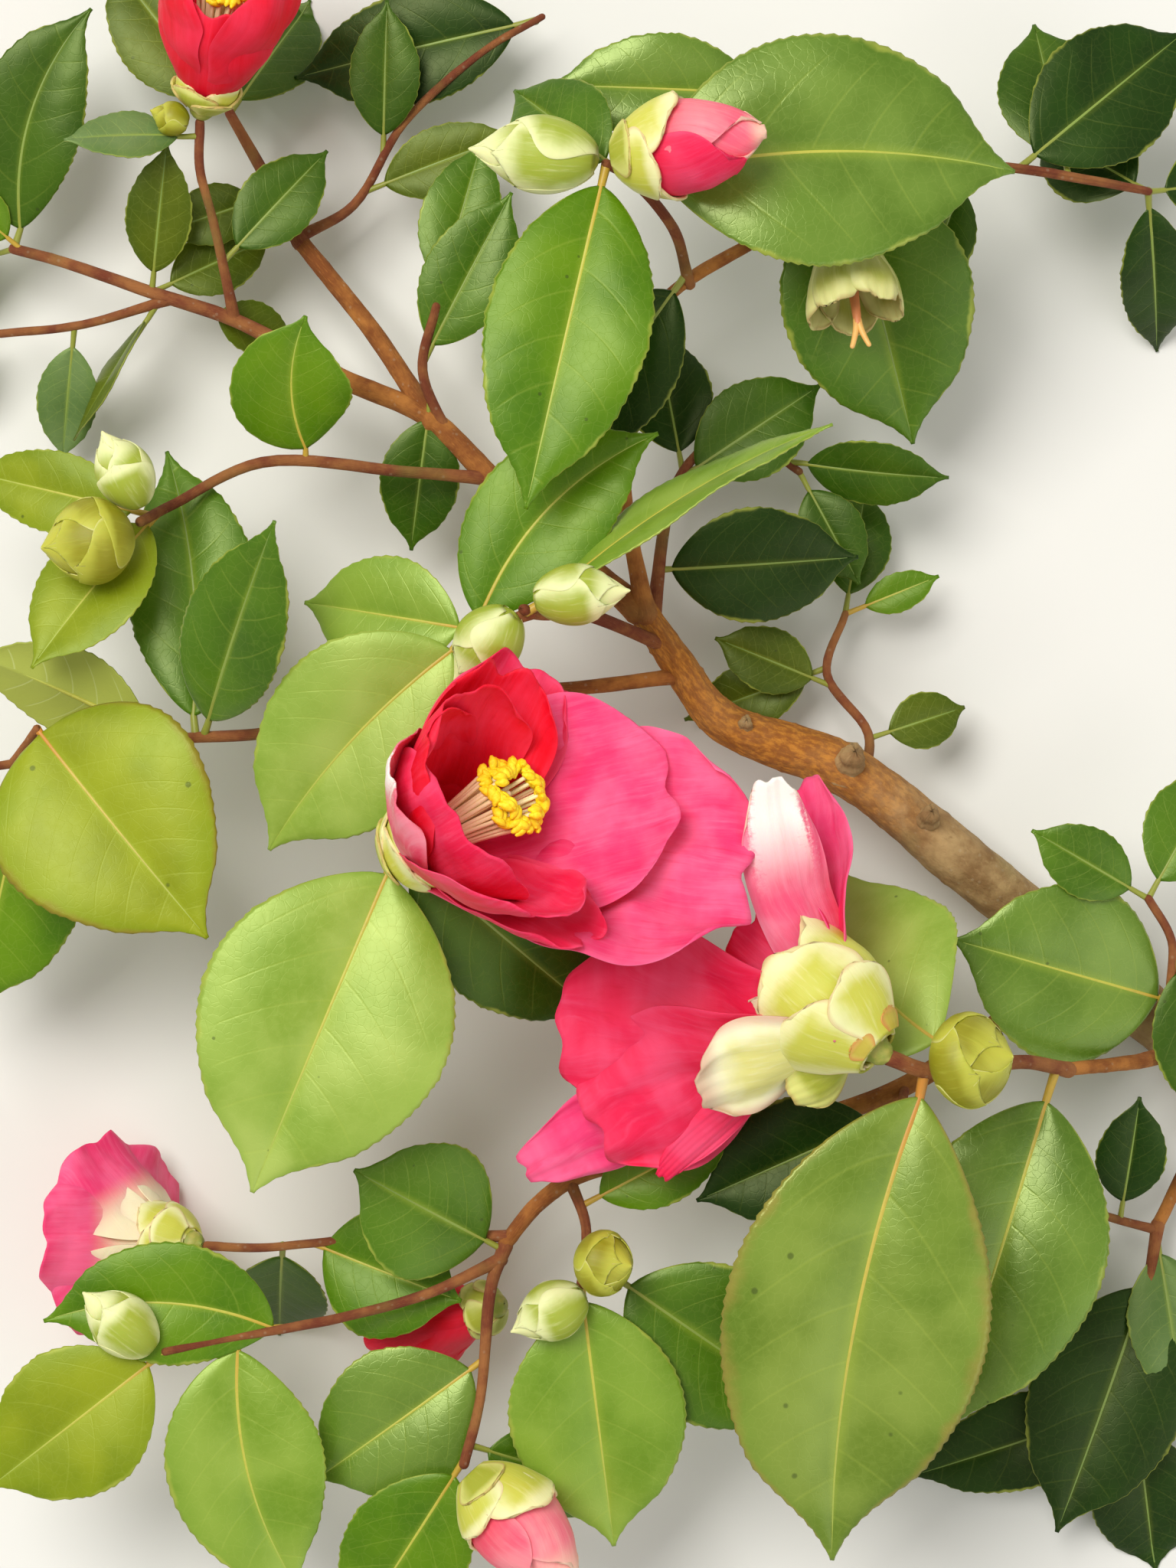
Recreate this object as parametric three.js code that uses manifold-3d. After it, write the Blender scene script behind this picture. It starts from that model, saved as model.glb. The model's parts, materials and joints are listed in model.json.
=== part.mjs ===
// A cut flowering branch of camellia, lying on a level surface, +Z up, in millimetres.
// Boughs are tapering limbs, each spray is a twig with its leaves, and blooms and buds are solids.
import * as THREE from 'three';
import Module from 'manifold-3d';

const wasm = await Module();
wasm.setup();

// Driving sizes
const EYE_HEIGHT = 960; // height from which the plan below is drawn
const PLAN_HEIGHT = 60; // height at which the plan is full size
const GAP = 0.3; // clearance between pieces that meet
const CUT_PLAN = [147, -71]; // centre of the cut, on the plan
const CUT_RADIUS = 6.8;
const CUT_RISE = 0.15; // the bough sags a little behind the cut
const CUT_HEADING = 140; // way the bough grows from the cut
const FIRST_RUN = 40; // straight run behind the cut
const BOUGH_SIDES = 10;
const LIMB_SIDES = 7;
const TWIG_SIDES = 5;
const LEAF_STALK = 5;
const STALK_RADIUS = 0.75;
const LEAF_THICKNESS = 0.012; // of the leaf's length
const LEAF_STATIONS = [0, 0.12, 0.32, 0.54, 0.75, 0.91, 1];
const SMALL_LEAF_STATIONS = [0, 0.22, 0.52, 0.82, 1];
const LEAF_FOLD = 8; // degrees that each half is lifted from flat
const SMALL_LEAF = 40; // length under which a leaf has fewer stations
const PETAL_THICKNESS = 1.1;
const PETAL_FOOT = 4.4; // radius of the ring that petals grow from
const PETAL_START = 6.2; // height of that ring above the bloom's foot
const BRACT_THICKNESS = 1.2;
const BRACT_FOOT = 3.4; // radius of the ring that bracts grow from
const BRACT_START = 3; // height of that ring above the bloom's foot
const KNOB = 4.2; // radius of the solid foot of a bloom
const LOBE_ROWS = 3;
const LARGE_LOBE_ROWS = 4; // for a bloom of more than five petals
// Lengths met from the middle of one lobe to the next, as shares of the lobe's length
const PETAL_SHARES = [1, 0.985, 0.88, 0.985];
const SMALL_PETAL_SHARES = [1, 0.9, 0.9];
const BRACT_SHARES = [1, 0.7];

const rad = THREE.MathUtils.degToRad;
const { sin, cos, max, min, PI } = Math;

// Looks
const LOOKS = {
  oldBark: { color: '#8e6e50', roughness: 0.8 },
  youngBark: { color: '#7e4a2c', roughness: 0.65 },
  leaf: { color: '#5d8226', roughness: 0.35 },
  petal: { color: '#e2335f', roughness: 0.6 },
  stamen: { color: '#f2bd18', roughness: 0.7 },
  bract: { color: '#c3cc70', roughness: 0.6 },
  bud: { color: '#a9b74e', roughness: 0.55 },
};

// A point of the plan, x to the right and y up as seen from the eye, raised to height z
function seen([x, y, z]) {
  const scale = (EYE_HEIGHT - z) / (EYE_HEIGHT - PLAN_HEIGHT);
  return new THREE.Vector3(x * scale, y * scale, z);
}

// Forward, left and up directions of something that points along a heading and rise, rolled about itself
function bearing(heading, rise, roll = 0) {
  const h = rad(heading);
  const e = rad(rise);
  const r = rad(roll);
  const forward = new THREE.Vector3(cos(e) * cos(h), cos(e) * sin(h), sin(e));
  const level = new THREE.Vector3(-sin(h), cos(h), 0);
  const lift = forward.clone().cross(level);
  const left = level.clone().multiplyScalar(cos(r)).addScaledVector(lift, sin(r));
  return { forward, left, up: forward.clone().cross(left) };
}

// A closed solid from vertices and triangles
function solidOf(vertices, triangles) {
  return new wasm.Manifold(new wasm.Mesh({
    numProp: 3,
    vertProperties: new Float32Array(vertices.flatMap((p) => [p.x, p.y, p.z])),
    triVerts: new Uint32Array(triangles.flat()),
  }));
}

// Rings of equal count, counter-clockwise about the way they follow, joined and capped
function loft(rings) {
  const count = rings[0].length;
  const triangles = [];
  for (let i = 0; i < rings.length - 1; i += 1) {
    for (let j = 0; j < count; j += 1) {
      const a = i * count + j;
      const b = i * count + ((j + 1) % count);
      triangles.push([a, b, b + count], [a, b + count, a + count]);
    }
  }
  const last = (rings.length - 1) * count;
  for (let j = 1; j < count - 1; j += 1) {
    triangles.push([0, j + 1, j], [last, last + j, last + j + 1]);
  }
  return solidOf(rings.flat(), triangles);
}

// A cup round a flower's axis that runs out into lobes, closed on both sides.
// midline(lobe, u) gives [across, along] at u of a lobe's length, and the sizes of lobes blend between them.
function lobedCup(place, lobes, midline, thickness, shares, rows = LOBE_ROWS) {
  const columns = [];
  lobes.forEach((lobe, i) => {
    const next = lobes[(i + 1) % lobes.length];
    const step = (next.turn - lobe.turn + 360) % 360;
    shares.forEach((share, k) => {
      const blend = k / shares.length;
      const mixed = Object.fromEntries(Object.keys(lobe).map((key) => (
        [key, THREE.MathUtils.lerp(lobe[key], next[key], blend)])));
      columns.push({ ...mixed, long: mixed.long * share, turn: lobe.turn + step * blend });
    });
  });
  const vertices = [];
  for (const level of [0.5, -0.5]) {
    for (const lobe of columns) {
      for (let i = 0; i <= rows; i += 1) {
        const [across, along] = midline(lobe, i / rows);
        const [ahead, aheadUp] = midline(lobe, min(i / rows + 0.02, 1));
        const [behind, behindUp] = midline(lobe, max(i / rows - 0.02, 0));
        const slope = Math.atan2(ahead - behind, aheadUp - behindUp);
        const offset = level * thickness;
        vertices.push(place(across + offset * cos(slope), lobe.turn, along - offset * sin(slope)));
      }
    }
  }
  const row = rows + 1;
  const count = columns.length;
  const inner = count * row;
  const triangles = [];
  const quad = (a, b, c, d) => triangles.push([a, b, c], [a, c, d]);
  for (let c = 0; c < count; c += 1) {
    const here = c * row;
    const there = ((c + 1) % count) * row;
    for (let i = 0; i < rows; i += 1) {
      quad(here + i, there + i, there + i + 1, here + i + 1);
      quad(inner + here + i, inner + here + i + 1, inner + there + i + 1, inner + there + i);
    }
    quad(here, inner + here, inner + there, there);
    quad(here + rows, there + rows, inner + there + rows, inner + here + rows);
  }
  return solidOf(vertices, triangles);
}

// A tapering limb through points, with a radius at each point
function limb(points, radii, sides, grow = 0, stepsEach = 2) {
  const curve = new THREE.CatmullRomCurve3(points, false, 'centripetal');
  const steps = (points.length - 1) * stepsEach;
  const rings = [];
  let normal = new THREE.Vector3(0, 0, 1);
  for (let i = 0; i <= steps; i += 1) {
    const u = i / steps;
    const place = u * (radii.length - 1);
    const k = min(Math.floor(place), radii.length - 2);
    const radius = THREE.MathUtils.lerp(radii[k], radii[k + 1], place - k) + grow;
    const tangent = curve.getTangent(u);
    normal = normal.clone().addScaledVector(tangent, -normal.dot(tangent)).normalize();
    const side = tangent.clone().cross(normal);
    const centre = curve.getPoint(u);
    if (i === 0) centre.addScaledVector(tangent, -grow);
    if (i === steps) centre.addScaledVector(tangent, grow);
    const ring = [];
    for (let j = 0; j < sides; j += 1) {
      const angle = ((j + 0.5) / sides) * 2 * PI;
      ring.push(centre.clone().addScaledVector(normal, radius * cos(angle))
        .addScaledVector(side, radius * sin(angle)));
    }
    rings.push(ring);
  }
  return loft(rings);
}

// Half width of a leaf at u of its length, as a share of its greatest half width
function leafOutline(u, belly) {
  const power = Math.log(0.5) / Math.log(belly);
  return sin(PI * min(u ** power, 0.999)) ** 0.82 * (1 - 0.25 * u ** 6);
}

// A leaf from its node: a thin stalk, then a blade whose midrib is an arc of `curl` degrees.
// `swing` bows it sideways, `twist` turns it along its length, and nothing goes below the surface.
function leaf(node, shape, grow = 0) {
  const {
    heading, rise, long, wide, roll = 0, curl = 14, swing = 0, twist = 0, stalk = LEAF_STALK, belly = 0.44,
  } = shape;
  const arc = rad(curl || 0.1);
  const radius = long / (2 * sin(arc / 2));
  const half = max((LEAF_THICKNESS * long) / 2, 0.45) + grow;
  const base = bearing(heading, rise, roll);
  const start = node.clone().addScaledVector(base.forward, stalk);
  const rings = [];
  const ring = (centre, left, up, wideHalf, thickHalf, lift) => {
    rings.push([
      centre.clone().addScaledVector(left, wideHalf).addScaledVector(up, lift),
      centre.clone().addScaledVector(up, thickHalf),
      centre.clone().addScaledVector(left, -wideHalf).addScaledVector(up, lift),
      centre.clone().addScaledVector(up, -thickHalf),
    ]);
  };
  const thin = STALK_RADIUS + grow;
  ring(node.clone(), base.left, base.up, thin, thin, 0);
  for (const u of long < SMALL_LEAF ? SMALL_LEAF_STATIONS : LEAF_STATIONS) {
    const angle = arc * (0.5 - u);
    const turned = bearing(heading, rise, roll + twist * (u - 0.5));
    const along = radius * (sin(arc / 2) - sin(angle));
    const lifted = radius * (cos(angle) - cos(arc / 2));
    const centre = start.clone().addScaledVector(base.forward, along)
      .addScaledVector(base.up, lifted).addScaledVector(base.left, swing * long * 4 * u * (1 - u));
    const up = turned.up.clone().multiplyScalar(cos(angle)).addScaledVector(base.forward, -sin(angle));
    const yaw = Math.atan(4 * swing * (1 - 2 * u));
    const left = turned.left.clone().multiplyScalar(cos(yaw)).addScaledVector(base.forward, -sin(yaw));
    const wideHalf = max((wide / 2) * leafOutline(u, belly), 0.6) + grow;
    const fold = (wideHalf - grow) * Math.tan(rad(LEAF_FOLD));
    ring(centre, left, up, wideHalf, u === 1 ? half * 0.6 : half, fold);
  }
  const floorOf = [0.3, 0.8, 0.3, 0];
  for (const section of rings) section.forEach((p, j) => { p.z = max(p.z, floorOf[j]); });
  return loft(rings);
}

// A spray: twigs, each with leaves at shares of its length, fused into one body
function spray(twigs, grow = 0) {
  const pieces = [];
  for (const { way, radii, leaves } of twigs) {
    const points = way.map(seen);
    pieces.push(limb(points, radii, TWIG_SIDES, grow, 1));
    const curve = new THREE.CatmullRomCurve3(points, false, 'centripetal');
    for (const [at, heading, rise, long, wide, more] of leaves) {
      pieces.push(leaf(curve.getPoint(at), { heading, rise, long, wide, ...more }, grow));
    }
  }
  return wasm.Manifold.union(pieces);
}

// The frame of a bloom or bud: its foot, its axis and two directions across it
function flowerFrame(foot, heading, rise) {
  const { forward, left, up } = bearing(heading, rise);
  return (across, turn, along) => foot.clone().addScaledVector(forward, along)
    .addScaledVector(left, across * cos(rad(turn))).addScaledVector(up, across * sin(rad(turn)));
}

// A petal's midline leans from `lean` to `open` degrees off the axis
function petalMidline(foot, start) {
  return ({ lean, open, long }, u) => {
    const from = rad(lean);
    const change = rad(open - lean) || 0.01;
    const angle = from + change * u;
    return [
      foot + (long * (cos(from) - cos(angle))) / change,
      start + (long * (sin(angle) - sin(from))) / change,
    ];
  };
}

// A solid turned about a flower's axis from a closed profile of [across, along]
function turned(place, profile, segments) {
  const vertices = [];
  const triangles = [];
  const count = profile.length;
  for (let i = 0; i < segments; i += 1) {
    for (const [across, along] of profile) vertices.push(place(across, (360 * i) / segments, along));
  }
  for (let i = 0; i < segments; i += 1) {
    for (let j = 0; j < count; j += 1) {
      const a = i * count + j;
      const b = i * count + ((j + 1) % count);
      const c = ((i + 1) % segments) * count + j;
      const d = ((i + 1) % segments) * count + ((j + 1) % count);
      triangles.push([a, c, d], [a, d, b]);
    }
  }
  return solidOf(vertices, triangles);
}

// An ovoid bud of overlapping scales, from its foot to its tip
function bud(foot, heading, rise, long, thick, grow = 0) {
  const place = flowerFrame(foot, heading, rise);
  const sides = 8;
  const shares = [0, 0.12, 0.34, 0.58, 0.82, 1];
  const rings = shares.map((u, i) => {
    const body = (thick / 2) * max(sin(PI * min(u ** 0.8, 0.985)) ** 0.72, 0.12);
    const ring = [];
    for (let j = 0; j < sides; j += 1) {
      const turn = (360 * j) / sides;
      const scale = 1 + 0.05 * cos(rad(turn * 2.5 + i * 100));
      ring.push(place(body * scale + grow, turn, 0.4 + u * long));
    }
    return ring;
  });
  return loft(rings);
}

// Bracts round the foot of a bloom, on a solid knob
function calyx(place, bracts, knob = KNOB) {
  const rings = [[0.5, 0.6], [2.4, 1], [5.2, 0.72]].map(([along, share]) => (
    Array.from({ length: 8 }, (_, j) => place(knob * share, 45 * j, along))));
  return loft(rings).add(lobedCup(place, bracts, petalMidline(BRACT_FOOT, BRACT_START), BRACT_THICKNESS,
    BRACT_SHARES));
}

// Petals joined in a cup, one lobe for each
function corolla(place, petals, grow = 0) {
  const large = petals.length > 5;
  const shares = large ? PETAL_SHARES : SMALL_PETAL_SHARES;
  const rows = large ? LARGE_LOBE_ROWS : LOBE_ROWS;
  const midline = petalMidline(PETAL_FOOT, PETAL_START);
  return lobedCup(place, petals, midline, PETAL_THICKNESS + 2 * grow, shares, rows);
}

// Stamens: filaments joined in a tube that flares to a ring of anthers
function stamens(place, long, ringRadius) {
  const base = 5.8;
  return turned(place, [
    [1.1, base], [2.2, base], [2.7, base + long * 0.4], [ringRadius * 0.9, base + long * 0.86],
    [ringRadius, base + long], [ringRadius * 0.62, base + long * 1.02], [1.6, base + long * 0.55],
  ], 12);
}

// The largest piece of a solid once the given solids are cut away from it
function clearOf(solid, ...others) {
  let rest = solid;
  for (const other of others) rest = rest.subtract(other);
  const pieces = rest.decompose();
  return pieces.reduce((best, piece) => (piece.volume() > best.volume() ? piece : best));
}

const branch = new THREE.Group();
branch.name = 'camellia_branch';

// Adds a solid to the branch as a named mesh
function add(name, solid, look) {
  const mesh = solid.getMesh();
  const geometry = new THREE.BufferGeometry();
  geometry.setAttribute('position', new THREE.BufferAttribute(mesh.vertProperties, 3));
  geometry.setIndex(new THREE.BufferAttribute(mesh.triVerts, 1));
  geometry.computeVertexNormals();
  const piece = new THREE.Mesh(geometry, new THREE.MeshStandardMaterial({ ...LOOKS[look], metalness: 0 }));
  piece.name = name;
  branch.add(piece);
  return piece;
}

// Boughs, each given by points on the plan with their heights, and by its radius at each point
const cutCentre = seen([...CUT_PLAN, CUT_RADIUS + CUT_RISE]);
const firstRun = bearing(CUT_HEADING, 0).forward.multiplyScalar(FIRST_RUN);
const BOUGHS = {
  main_bough: {
    from: [cutCentre, cutCentre.clone().add(firstRun)],
    way: [[84, -19, 18], [56, 3, 26], [29, 14, 32], [19, 27, 36], [11, 39, 40]],
    radii: [CUT_RADIUS, 6.6, 6.3, 6, 4.8, 3.7, 3],
  },
  west_bough: {
    way: [[11, 38, 40], [-5, 51.5, 38], [-21, 66.5, 34], [-35, 80, 30], [-53, 88, 28], [-61, 92.5, 27.5]],
    radii: [2.6, 2.6, 2.5, 2.4, 2.2, 2],
    parent: 'main_bough',
  },
  upper_bough: {
    way: [[-34, 79, 30], [-46.5, 98, 24], [-56, 110, 22.5], [-62.5, 118, 22]],
    radii: [2.2, 2.2, 2, 1.9],
    parent: 'west_bough',
  },
  north_bough: {
    way: [[12.5, 37, 41], [8, 63, 45], [8, 84, 46], [15.5, 104, 48], [37, 118.5, 50], [60, 130, 46]],
    radii: [2, 1.7, 1.5, 1.4, 1.3, 1.2],
    parent: 'main_bough',
    beside: 'west_bough',
  },
  left_bough: {
    way: [[23, 24, 35], [-1, 21, 40], [-28, 19, 46], [-53, 15, 50]],
    radii: [1.8, 1.6, 1.5, 1.4],
    parent: 'main_bough',
  },
  right_bough: {
    way: [[138, -62, 8], [128, -59, 20], [119, -60.5, 32], [105, -62, 47]],
    radii: [2, 1.8, 1.6, 1.5],
    parent: 'main_bough',
  },
  right_lower_bough: {
    way: [[141, -66, 6], [133, -78, 7], [127, -90, 10], [124, -96, 12]],
    radii: [1.8, 1.6, 1.5, 1.4],
    parent: 'main_bough',
  },
  lower_bough: {
    way: [[108, -38, 12], [88.5, -52.5, 24], [68.5, -66, 34], [39, -76, 42], [15, -81, 44], [-1.5, -85, 46],
      [-11, -91.5, 46], [-18, -100, 46]],
    radii: [2.6, 2.4, 2.3, 2.1, 1.9, 1.8, 1.7, 1.6],
    parent: 'main_bough',
  },
};

// Sprays. A leaf is [place on its twig, heading, rise, length, width, finer shape]
const SPRAYS = {
  spray_centre: {
    parent: 'main_bough',
    twigs: [
      {
        way: [[17, 30, 37], [-1, 37, 58], [-11, 37, 75], [-14, 38, 80]],
        radii: [1.5, 1.4, 1.3, 1.2],
        leaves: [[0.93, 31, 4, 68, 20, { roll: -66, stalk: 8, swing: 0.05 }]],
      },
      {
        way: [[-12.5, 37.2, 77.5], [-21, 34, 75], [-27, 32.5, 72.5]],
        radii: [1.2, 1.1, 1],
        leaves: [
          [1, 46, 0, 55, 29, { swing: 0.1, roll: -8 }],
          [0.95, 227, -12, 60, 40, { curl: 18, swing: -0.045 }],
          [0.7, 170, -24, 38, 26, {}],
        ],
      },
    ],
  },
  spray_bloom: {
    parent: 'left_bough',
    twigs: [{
      way: [[-28, 19, 46], [-35, 4, 56], [-40, -9, 67], [-42.5, -17, 73]],
      radii: [1.3, 1.2, 1.2, 1.2],
      leaves: [
        [0.96, 247, 0, 74, 55, { curl: 20, stalk: 4 }],
        [0.86, -41, -22, 58, 31, {}],
      ],
    }],
  },
  spray_left_buds: {
    parent: 'west_bough',
    twigs: [{
      way: [[-21, 66.5, 34], [-40, 68, 39], [-71, 70, 43], [-90, 61, 50], [-97.5, 57, 64]],
      radii: [1.4, 1.3, 1.2, 1.1, 1.1],
      leaves: [
        [0.42, 88, 26, 31, 27, { stalk: 3, swing: 0.1 }],
        [0.85, 233, 16, 41, 24, { roll: 20, stalk: 4 }],
        [0.9, 166, -16, 40, 18, {}],
      ],
    }],
  },
  spray_left_end: {
    parent: 'left_bough',
    twigs: [
      {
        way: [[-53, 15, 50], [-71, 11, 52], [-87, 10, 53], [-103, 8, 53], [-128, 4, 52], [-135, 3, 51]],
        radii: [1.3, 1.3, 1.2, 1.1, 1, 0.9],
        leaves: [
          [0.36, 68, 34, 54, 24, { roll: -12 }],
          [0.38, 97, -13, 61, 29, { swing: -0.05 }],
          [0.46, 156, 4, 42, 22, { roll: 150 }],
          [0.74, 256, -14, 54, 36, {}],
          [1, 188, -6, 30, 19, {}],
        ],
      },
      {
        way: [[-125, 4.5, 52], [-122, 9, 58], [-120, 12, 62]],
        radii: [1, 0.9, 0.9],
        leaves: [[1, -50, 8, 58, 50, { stalk: 1.5, belly: 0.36, curl: 22 }]],
      },
    ],
  },
  spray_far_left: {
    parent: 'west_bough',
    twigs: [
      {
        way: [[-61.5, 93, 27.5], [-77, 101, 27], [-95, 107, 25], [-114, 113.5, 22], [-125, 116.5, 20]],
        radii: [1.8, 1.6, 1.5, 1.3, 1.2],
        leaves: [
          [0.5, 81, 24, 30, 15, {}],
          [0.5, 27, -16, 26, 15, {}],
          [0.36, -18, -30, 20, 12, {}],
          [0.95, 140, 20, 16, 12, {}],
          [1, 70, 12, 52, 25, { swing: 0.1, curl: 24 }],
          [1, 190, -34, 34, 20, {}],
        ],
      },
      {
        way: [[-91, 105.5, 25.5], [-110, 100, 22], [-128, 98, 18]],
        radii: [1.1, 1, 0.9],
        leaves: [
          [0.08, 237, -14, 32, 14, { roll: 68, swing: 0.1 }],
          [0.55, 262, -22, 27, 14, {}],
          [1, 205, -14, 26, 16, {}],
        ],
      },
    ],
  },
  spray_high_left: {
    parent: 'spray_far_left',
    twigs: [{
      way: [[-77, 101, 27], [-79, 111, 31], [-82, 124, 37], [-84.5, 134, 41], [-84.5, 144, 44]],
      radii: [1.2, 1.1, 1, 1, 1],
      leaves: [
        [0.93, 184, 12, 25, 13, { roll: 30 }],
        [0.3, 48, -8, 30, 17, {}],
      ],
    }],
  },
  spray_upper: {
    parent: 'upper_bough',
    twigs: [
      {
        way: [[-62.5, 118, 22], [-69.5, 131, 22], [-78, 146, 20]],
        radii: [1.7, 1.5, 1.2],
        leaves: [
          [0.4, 200, 8, 22, 14, {}],
          [1, 128, -4, 40, 24, {}],
          [1, 60, -34, 36, 20, {}],
        ],
      },
      {
        way: [[-63, 119, 22], [-51, 126, 20], [-40, 144, 20], [-22, 160, 20], [-10, 167, 20]],
        radii: [1.2, 1.1, 1, 0.9, 0.8],
        leaves: [
          [0.97, 192, -8, 52, 26, {}],
          [0.4, 88, 10, 30, 16, {}],
          [0.3, 20, 5, 32, 16, {}],
        ],
      },
    ],
  },
  spray_top_middle: {
    parent: 'west_bough',
    twigs: [{
      way: [[-30, 75, 31], [-36, 90, 34], [-33, 104, 37]],
      radii: [1.2, 1.1, 1],
      leaves: [
        [0.55, 62, 6, 38, 20, {}],
        [1, 75, -6, 34, 18, {}],
        [0.3, 262, -14, 30, 18, {}],
      ],
    }],
  },
  spray_top: {
    parent: 'north_bough',
    twigs: [{
      way: [[22, 109, 49], [18.5, 121, 63], [9, 132, 76], [4, 135, 82]],
      radii: [1.2, 1.2, 1.1, 1.1],
      leaves: [
        [1, 257, 5, 71, 35, { curl: 20 }],
        [0.76, 1, -6, 77, 50, { swing: 0.05, stalk: 8, curl: 18, roll: -3 }],
        [0.8, 138, -34, 32, 22, {}],
        [0.06, 234, -5, 48, 26, {}],
      ],
    }],
  },
  spray_top_right: {
    parent: 'north_bough',
    twigs: [
      {
        way: [[60, 130, 46], [85, 134.5, 44], [109, 131.5, 40], [122, 129, 36]],
        radii: [1.1, 1.1, 1, 0.9],
        leaves: [
          [0.3, 251, -16, 27, 15, {}],
          [0.45, 40, -12, 46, 30, {}],
          [0.6, 100, -20, 34, 24, {}],
          [1, 145, -30, 28, 22, { stalk: 4 }],
          [1, -78, -48, 44, 16, {}],
          [1, 10, -34, 30, 20, {}],
        ],
      },
      {
        way: [[60, 130, 46], [52, 140, 54], [42, 150, 58]],
        radii: [1, 0.9, 0.9],
        leaves: [
          [1, 178, 2, 46, 24, {}],
          [0.35, -74, -16, 62, 43, { curl: 18, stalk: 5 }],
        ],
      },
    ],
  },
  spray_inner: {
    parent: 'main_bough',
    twigs: [{
      way: [[14, 35, 38], [18, 62, 32], [23, 71, 28], [32, 77, 25], [46, 68, 22]],
      radii: [1.6, 1.3, 1.1, 1, 0.9],
      leaves: [
        [0.1, 4, -4, 42, 26, { stalk: 3, roll: 10 }],
        [0.35, 34, -6, 34, 22, {}],
        [0.4, 100, -18, 30, 20, {}],
        [0.95, -6, 8, 32, 16, { roll: 30 }],
        [1, -62, 0, 24, 15, {}],
      ],
    }],
  },
  spray_knob: {
    parent: 'main_bough',
    twigs: [{
      way: [[60, 0.5, 25], [61, 11, 20], [52, 24, 17], [56, 37, 14]],
      radii: [1.3, 1.1, 1, 0.9],
      leaves: [
        [0.3, 18, -14, 19, 13, {}],
        [0.6, 158, 6, 24, 15, {}],
        [0.7, 200, -12, 30, 15, {}],
        [1, 22, 4, 18, 9, {}],
        [1, 80, -16, 26, 16, {}],
      ],
    }],
  },
  spray_right: {
    parent: 'right_bough',
    twigs: [{
      way: [[104.5, -62.2, 47.5], [94, -60.5, 61], [82, -62.5, 71], [73, -62.3, 77], [65.5, -59.5, 79.5]],
      radii: [1.5, 1.5, 1.5, 1.7, 1.8],
      leaves: [
        [0.74, 260, -8, 104, 57, { curl: 26, swing: -0.05, stalk: 6, belly: 0.47 }],
        [0.06, 252.5, 0, 77, 46, { curl: 16, stalk: 8 }],
        [0.56, 118, -38, 54, 46, { stalk: 9, swing: 0.12 }],
      ],
    }],
  },
  spray_right_edge: {
    parent: 'main_bough',
    twigs: [{
      way: [[132, -57, 9], [130, -52, 22], [127, -46, 28], [127, -34, 32], [122, -25, 35]],
      radii: [1.3, 1.2, 1.1, 1, 1],
      leaves: [
        [0.45, 164, 12, 50, 41, { stalk: 4 }],
        [0.7, -72, -8, 38, 22, {}],
        [1, 150, 8, 26, 16, {}],
        [1, 60, -12, 30, 20, {}],
      ],
    }],
  },
  spray_right_lower: {
    parent: 'right_lower_bough',
    twigs: [
      {
        way: [[124, -96, 12], [121.5, -113, 14], [119, -137, 15]],
        radii: [1.3, 1.2, 1],
        leaves: [
          [0.28, 250, 2, 59, 36, {}],
          [0.05, -82, 6, 36, 20, {}],
          [1, -80, -24, 38, 26, {}],
          [0.95, 200, -10, 50, 22, {}],
        ],
      },
      {
        way: [[123.5, -97, 12], [111, -93.5, 20], [103, -90, 24]],
        radii: [1, 0.9, 0.8],
        leaves: [
          [0.3, 84, 20, 26, 16, {}],
          [1, 210, -24, 30, 18, {}],
        ],
      },
    ],
  },
  spray_under: {
    parent: 'lower_bough',
    twigs: [{
      way: [[69, -66, 34], [68, -70, 44], [66, -72, 47]],
      radii: [1, 0.9, 0.9],
      leaves: [[1, 204, -2, 42, 27, {}]],
    }],
  },
  spray_bottom_middle: {
    parent: 'lower_bough',
    twigs: [{
      way: [[-4, -86, 46], [-0.5, -96, 50], [-1, -106, 54], [-1.5, -109, 55]],
      radii: [1.2, 1.1, 1.1, 1.1],
      leaves: [
        [1, 277, -9, 56, 39, { stalk: 4 }],
        [0.55, -35, -8, 50, 36, { stalk: 12 }],
        [0.2, 28, -2, 34, 18, {}],
      ],
    }],
  },
  spray_bottom: {
    parent: 'lower_bough',
    twigs: [{
      way: [[-18, -100.5, 46], [-21, -109, 47], [-23.5, -134, 50], [-27, -148, 54]],
      radii: [1.4, 1.3, 1.2, 1.2],
      leaves: [
        [0.04, 150, 16, 34, 32, {}],
        [0.55, 216, -6, 43, 33, { stalk: 4 }],
        [0.97, 238, -14, 45, 28, {}],
        [0.9, -20, -26, 36, 22, {}],
      ],
    }],
  },
  spray_bottom_left: {
    parent: 'spray_bottom',
    twigs: [{
      way: [[-19, -103.5, 46.4], [-35, -111, 49], [-53, -116, 51], [-63, -118, 53], [-77, -120.5, 55],
        [-92, -123.5, 57]],
      radii: [1.3, 1.2, 1.1, 1.1, 1, 1],
      leaves: [
        [0.64, 178, 2, 50, 27, { swing: -0.1, stalk: 3 }],
        [1, 218, -6, 45, 33, {}],
        [0.8, 284, -6, 56, 35, { swing: -0.08, stalk: 3 }],
      ],
    }],
  },
  spray_lower_left: {
    parent: 'lower_bough',
    twigs: [{
      way: [[-17, -98.5, 46], [-41, -98, 41], [-60, -100, 38], [-73, -101, 36], [-83, -100.5, 34.5]],
      radii: [1.2, 1.1, 1, 1, 1],
      leaves: [
        [0.5, -20, 9, 33, 30, { stalk: 3 }],
        [0.62, 262, -58, 42, 22, {}],
      ],
    }],
  },
};

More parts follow.
